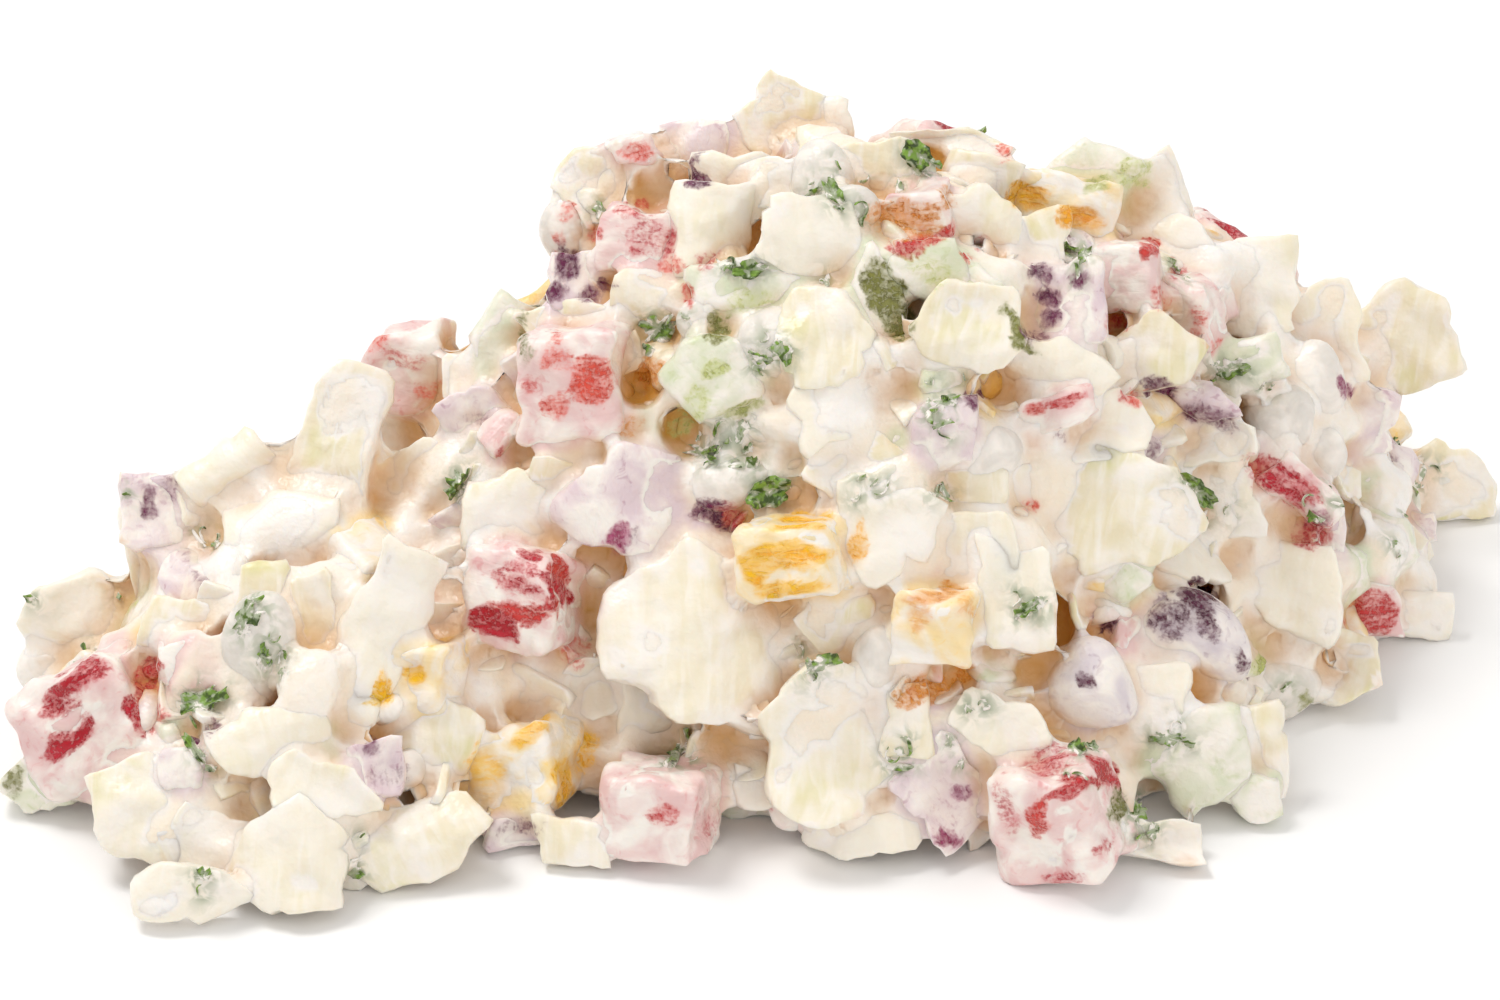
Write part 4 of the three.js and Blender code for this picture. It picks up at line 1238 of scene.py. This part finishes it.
def add_piece_values(kind, mesh, dressing, dressing_tree, herb_tree):
    """Where a kind's pieces are bare, where they dip under the dressing, and how deep they lie in a dent, for
    the painted shade there.
    """
    points, normals = mesh_points(mesh)
    bare, skin = bare_and_shade_marks(points, normals)
    if kind in COATED:
        unseen = field_values(mesh, "seen") == 0
        waves = ripple(field_values(mesh, "place", 3), UNSEEN_SEED, UNSEEN_LENGTH)
        bare[unseen] = smooth_step(*UNSEEN_BARE, waves)[unseen]
        skin[unseen] = skin_colour(kind)
    _, over, faces = nearest(points, dressing_tree)
    hollow = field_values(dressing, "hollow")[triangle_corners(dressing)[faces]].mean(axis=1)
    set_fields(mesh, {
        "bare": bare,
        "skin": skin,
        "cream": 1 - smooth_step(*CREAM_REACH, over),
        # Painted shade from the dent that the piece lies in
        "hollow": hollow * (1 - smooth_step(*DENT_SHADE_REACH, over)),
        "herb": near_herbs(points, herb_tree),
    })


def add_dressing_values(dressing, trees, herb_tree):
    """Where the dressing is thin over the pieces, and how near it lies to each coloured kind."""
    points, normals = mesh_points(dressing)
    bare, skin = bare_and_shade_marks(points, normals)
    fields = {"bare": bare, "skin": skin, "herb": near_herbs(points, herb_tree)}
    for kind in COATED:
        apart, _, _ = nearest(points, trees[kind])
        fields[kind] = 1 - smooth_step(*STAIN_REACH, apart)
    set_fields(dressing, fields)


def add_herb_values(herb, trees):
    """Where the herbs touch what they lie on, and the dressing creeps over them."""
    points, _ = mesh_points(herb)
    apart = np.min([nearest(points, tree)[0] for tree in trees.values()], axis=0)
    set_fields(herb, {"cream": 1 - smooth_step(*HERB_CREAM_REACH, apart)})


# Materials


def linear(red, green, blue):
    """A shader colour from screen values of 0 to 255."""
    shares = [value / 255 for value in (red, green, blue)]
    return (*[x / 12.92 if x < 0.04045 else ((x + 0.055) / 1.055) ** 2.4 for x in shares], 1)


# The dressing as a film, thick and thin, the painted shade of the dents, and the film round the herbs
CREAM = linear(248, 241, 233)
CREAM_THICK = linear(250, 244, 239)
CREAM_THIN = linear(247, 233, 214)
PAINTED_DENT_SHADE = linear(208, 151, 62)
HERB_FILM = linear(172, 180, 154)

# Cabbage from white to beige, green in places, and paler along its ribs
CABBAGE = linear(245, 237, 221)
CABBAGE_BEIGE = linear(236, 225, 193)
CABBAGE_GREEN = linear(224, 218, 162)
CABBAGE_RIB = linear(248, 241, 228)

# Herb from dark to green, bright in places, and smeared by the dressing
HERB_DARK = linear(54, 72, 34)
HERB_GREEN = linear(88, 112, 42)
HERB_BRIGHT = linear(128, 162, 68)
HERB_SMEARED = linear(172, 180, 152)

# The shaded places of the lumps, and the floor
LUMP_SHADE = linear(228, 222, 214)
FLOOR_WHITE = linear(250, 250, 250)
FLOOR_GREY = linear(247, 247, 247)

# How far red, green and blue light get through the food, in millimetres
LIGHT_REACHES = (0.7, 0.588, 0.49)


class Recipe:
    """Short calls that add nodes to one material and return their output sockets."""

    def __init__(self, name):
        self.material = bpy.data.materials.new(name)
        self.material.use_nodes = True
        self.tree = self.material.node_tree
        self.shader = self.tree.nodes["Principled BSDF"]
        self.place = self.field("place", "Vector")

    def fill(self, node, inputs):
        """Sets or links a node's inputs, by their names or numbers."""
        for name, value in inputs.items():
            if isinstance(value, bpy.types.NodeSocket):
                self.tree.links.new(value, node.inputs[name])
            else:
                node.inputs[name].default_value = value

    def node(self, kind, inputs, output=0, **settings):
        """Adds a node with its settings and inputs, and returns one of its outputs."""
        made = self.tree.nodes.new("ShaderNode" + kind)
        for name, value in settings.items():
            setattr(made, name, value)
        self.fill(made, inputs)
        return made.outputs[output]

    def field(self, name, output="Fac"):
        return self.node("Attribute", {}, output, attribute_name=name)

    def noise(self, size, detail=2, distortion=0.0, streak=None):
        """Smooth noise of 0 to 1 with features of about the given size in millimetres. A streak has
        a number for each axis, which draws the features out where it is under 1."""
        vector = self.place
        if streak:
            vector = self.node("Mapping", {"Vector": vector, "Scale": streak})
        inputs = {"Vector": vector, "Scale": 1 / size, "Detail": detail, "Distortion": distortion}
        return self.node("TexNoise", inputs)

    def times(self, first, second, plus=0.0):
        """The product of two values, plus a third."""
        return self.node("Math", {0: first, 1: second, 2: plus}, operation="MULTIPLY_ADD")

    def step(self, value, low, high, bottom=0.0, top=1.0):
        """A smooth change from the bottom to the top while a value goes from low to high."""
        inputs = {"Value": value, "From Min": low, "From Max": high, "To Min": bottom, "To Max": top}
        return self.node("MapRange", inputs, interpolation_type="SMOOTHSTEP")

    def mix(self, share, first, second, blend="MIX"):
        inputs = {0: share, 6: first, 7: second}
        return self.node("Mix", inputs, 2, data_type="RGBA", blend_type=blend)

    def herb_stained(self, colour):
        """Greys and greens the colour in blotches round the herbs."""
        blotches = self.step(self.noise(1.8, 3, 0.8), 0.42, 0.62)
        return self.mix(self.times(self.field("herb"), blotches), colour, HERB_FILM)

    def wiped(self, coat, streak=None, grain=0.3, ridged=0.5):
        """The coat, with warm painted shade in the dents, with the skin under it where the dressing has come
        off, and how bare it is."""
        share = self.field("bare")
        skin = self.field("skin", "Color")
        # Painted shade: the coat turns warm ochre in the dents
        coat = self.mix(self.field("hollow"), coat, PAINTED_DENT_SHADE)
        streaks = self.step(self.noise(1.1, 3, 0.8, streak), 0.34, 0.66)
        grains = self.step(self.noise(0.42), 0.34, 0.66)
        uneven = self.times(grains, grain, self.times(streaks, ridged))
        wiped = self.times(self.step(share, 0, 0.4), uneven, share)
        fringe = self.mix(self.step(share, 0.02, 0.8, 0, 0.38), coat, skin)
        thin = self.mix(self.step(wiped, 0.5, 1.1, 0, 0.55), fringe, skin)
        dark = self.step(self.noise(1.7, 3, 0, streak), 0.4, 0.62, 0, 0.5)
        deep = self.mix(dark, skin, skin, "MULTIPLY")
        specks = self.step(self.noise(0.55), 0.62, 0.54, 1 - 1.6 * grain, 1)
        bare = self.times(self.step(wiped, 0.9, 1.5), specks)
        return self.mix(bare, thin, deep), bare

    def finish(self, colour, height, roughness=0.28, relief=0.4, scatter=0.4):
        """Moist food that lets some light in, its surface raised by a height times the relief."""
        self.fill(self.shader, {
            "Normal": self.node("Bump", {"Height": height, "Distance": relief * METRE}),
            "Base Color": colour,
            "Roughness": roughness,
            "Subsurface Weight": scatter,
            "Subsurface Radius": LIGHT_REACHES,
            "Subsurface Scale": METRE,
            "IOR": 1.4,
            "Specular IOR Level": 0.5,
        })
        return self.material


def coated_material(kind):
    """Food under dressing: bare where the dressing is wiped off, tinted where it is thin."""
    look = COATED[kind]
    recipe = Recipe(kind)
    clouds = recipe.noise(4.5, 3, 0.6)
    film = recipe.step(recipe.times(recipe.field("cream"), -0.5, clouds), 0.3, 0.7)
    spots = recipe.step(recipe.noise(1.5, 3, 1), 0.56, 0.72, 0, 0.6)
    coat = recipe.mix(film, CREAM, linear(*look["film"]))
    coat = recipe.mix(recipe.times(spots, film), coat, linear(*look["thin"]))
    looks = [look[name] for name in ("streak", "grain", "ridged")]
    colour, bare = recipe.wiped(recipe.herb_stained(coat), *looks)
    roughness = recipe.times(bare, -0.06, 0.3)
    ridges = recipe.noise(1.1, 3, 0.8, look["streak"])
    swell = recipe.times(recipe.noise(1.6), 0.6, recipe.times(ridges, 0.4))
    height = recipe.times(bare, -0.6, swell)
    return recipe.finish(colour, height, roughness, relief=0.35, scatter=0.35)


def cabbage_material():
    """Pale leaf under dressing, whiter, beiger or greener from piece to piece, with faint ribs."""
    recipe = Recipe("cabbage")
    tint = recipe.field("tint")
    clouds = recipe.noise(6, 2, 0.5)
    ribs = recipe.noise(1.5, 2, 0.8, (1, 0.18, 1))
    leaf_colour = recipe.mix(recipe.step(tint, 0.3, 1.0), CABBAGE, CABBAGE_BEIGE)
    greenness = recipe.times(recipe.step(recipe.noise(9, 2), 0.52, 0.7), tint)
    leaf_colour = recipe.mix(greenness, leaf_colour, CABBAGE_GREEN)
    tinted = recipe.mix(recipe.step(ribs, 0.3, 0.8), leaf_colour, CABBAGE_RIB)
    covered = recipe.times(recipe.field("cream"), 0.5, clouds)
    coat = recipe.mix(recipe.step(covered, 0.4, 0.75), tinted, CREAM)
    colour, bare = recipe.wiped(recipe.herb_stained(coat))
    swell = recipe.times(ribs, 0.15, recipe.noise(2.4, 3))
    return recipe.finish(colour, recipe.times(bare, -0.4, swell))


def herb_material():
    """Dark green leaf, brighter in places, greyed and smeared by the dressing that creeps over it."""
    recipe = Recipe("herb")
    light = recipe.step(recipe.noise(0.9, 2), 0.42, 0.6)
    green = recipe.mix(recipe.field("tint"), HERB_DARK, HERB_GREEN)
    leaf_colour = recipe.mix(light, green, HERB_BRIGHT)
    smears = recipe.times(recipe.field("cream"), 0.3, recipe.noise(1.1, 3, 0.8))
    filmed = recipe.mix(recipe.step(smears, 0.5, 0.66), leaf_colour, HERB_SMEARED)
    colour = recipe.mix(recipe.step(smears, 0.7, 0.82), filmed, CREAM)
    swell = recipe.times(smears, 0.5, recipe.noise(0.5, 2))
    return recipe.finish(colour, swell, roughness=0.3, relief=0.15, scatter=0.1)


def dressing_material():
    recipe = Recipe("dressing")
    clouds = recipe.noise(7, 3, 0.5)
    colour = recipe.mix(recipe.step(clouds, 0.3, 0.7), CREAM_THIN, CREAM_THICK)
    for kind in COATED:
        share = recipe.times(recipe.field(kind), recipe.step(clouds, 0.65, 0.35))
        colour = recipe.mix(share, colour, linear(*COATED[kind]["film"]))
    colour, bare = recipe.wiped(recipe.herb_stained(colour))
    swell = recipe.times(recipe.noise(0.8, 2), 0.25, recipe.noise(2.2, 3))
    return recipe.finish(colour, recipe.times(bare, -0.4, swell))


def lump_material():
    recipe = Recipe("lump")
    thick = recipe.step(recipe.noise(4, 3, 0.8), 0.35, 0.65)
    shaded = recipe.mix(thick, LUMP_SHADE, CREAM)
    coat = recipe.mix(recipe.field("cream"), shaded, CREAM)
    colour, bare = recipe.wiped(recipe.herb_stained(coat))
    swell = recipe.times(bare, -0.4, recipe.noise(1.8, 2))
    return recipe.finish(colour, swell, relief=0.35)


# The stage

# The light from all round, and the lamps: place in metres, width, power and colour
GLOW = (1, 0.99, 0.98, 1)
GLOW_STRENGTH = 0.74
LAMPS = {
    "key": [(-0.34, 0.2, 0.78), 0.3, 3.4, (1, 0.99, 0.975)],
    "fill": [(0.45, -0.7, 0.45), 0.7, 1.3, (1, 0.965, 0.93)],
}

# The floor's half width and how far it lies under the heap
FLOOR_REACH = 4000
FLOOR_DROP = 0.1


def camera():
    lens = bpy.data.cameras.new("camera")
    lens.lens = lens.sensor_width * EYE_DISTANCE / VIEW_WIDTH
    lens.clip_start, lens.clip_end = 0.05, 10
    eye = bpy.data.objects.new("camera", lens)
    aim = Vector((AIM - FOOTPRINT_MIDDLE) * METRE)
    towards = Vector(TO_EYE)
    eye.location = aim + towards * EYE_DISTANCE * METRE
    eye.rotation_euler = towards.to_track_quat("Z", "Y").to_euler()
    bpy.context.scene.collection.objects.link(eye)
    bpy.context.scene.camera = eye


def lamp(name, place, size, power, colour):
    light = bpy.data.lights.new(name, "AREA")
    light.size = size
    light.energy = power
    light.color = colour
    thing = bpy.data.objects.new(name, light)
    thing.location = place
    thing.rotation_euler = Vector(place).to_track_quat("Z", "Y").to_euler()
    bpy.context.scene.collection.objects.link(thing)


def light_world():
    world = bpy.data.worlds.new("world")
    bpy.context.scene.world = world
    world.use_nodes = True
    glow = world.node_tree.nodes["Background"].inputs
    glow["Color"].default_value = GLOW
    glow["Strength"].default_value = GLOW_STRENGTH
    for name, facts in LAMPS.items():
        lamp(name, *facts)


def stage():
    light_world()
    corners = FLOOR_REACH * np.array([[-1, -1, 0], [1, -1, 0], [1, 1, 0], [-1, 1, 0]])
    floor = mesh_object("floor", corners, np.array([[0, 1, 2, 3]]), np.empty((0, 3), int))
    floor.location.z = -FLOOR_DROP * METRE
    recipe = Recipe("floor")
    colour = recipe.mix(recipe.noise(20), FLOOR_WHITE, FLOOR_GREY)
    recipe.fill(recipe.shader, {"Base Color": colour, "Roughness": 0.7})
    floor.data.materials.append(recipe.material)
    bpy.context.scene.view_settings.view_transform = "Standard"


def dress(thing, material):
    thing.data.materials.clear()
    thing.data.materials.append(material)
    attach(thing, BODY)
    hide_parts(NODE)


def salad_objects():
    """One object for each kind, with the values on its points that its material reads."""
    pieces = seen_pieces()
    for scatter in SCATTERS:
        pieces = scattered_pieces(pieces, scatter)
    things = piece_objects(pieces)
    dressing = dressing_object(things.values())
    trees = {kind: tree_of(thing.data) for kind, thing in things.items()}
    trees["dressing"] = tree_of(dressing.data)
    herb = herb_object(trees)
    herb_tree = tree_of(herb.data)
    for kind, thing in things.items():
        add_piece_values(kind, thing.data, dressing.data, trees["dressing"], herb_tree)
    add_dressing_values(dressing.data, trees, herb_tree)
    add_herb_values(herb.data, trees)
    return {**things, "dressing": dressing, "herb": herb}


def salad_materials():
    materials = {kind: coated_material(kind) for kind in COATED}
    materials["cabbage"] = cabbage_material()
    materials["lump"] = lump_material()
    materials["dressing"] = dressing_material()
    materials["herb"] = herb_material()
    return materials


def main():
    things = salad_objects()
    materials = salad_materials()
    for kind, thing in things.items():
        dress(thing, materials[kind])
    camera()
    stage()


main()
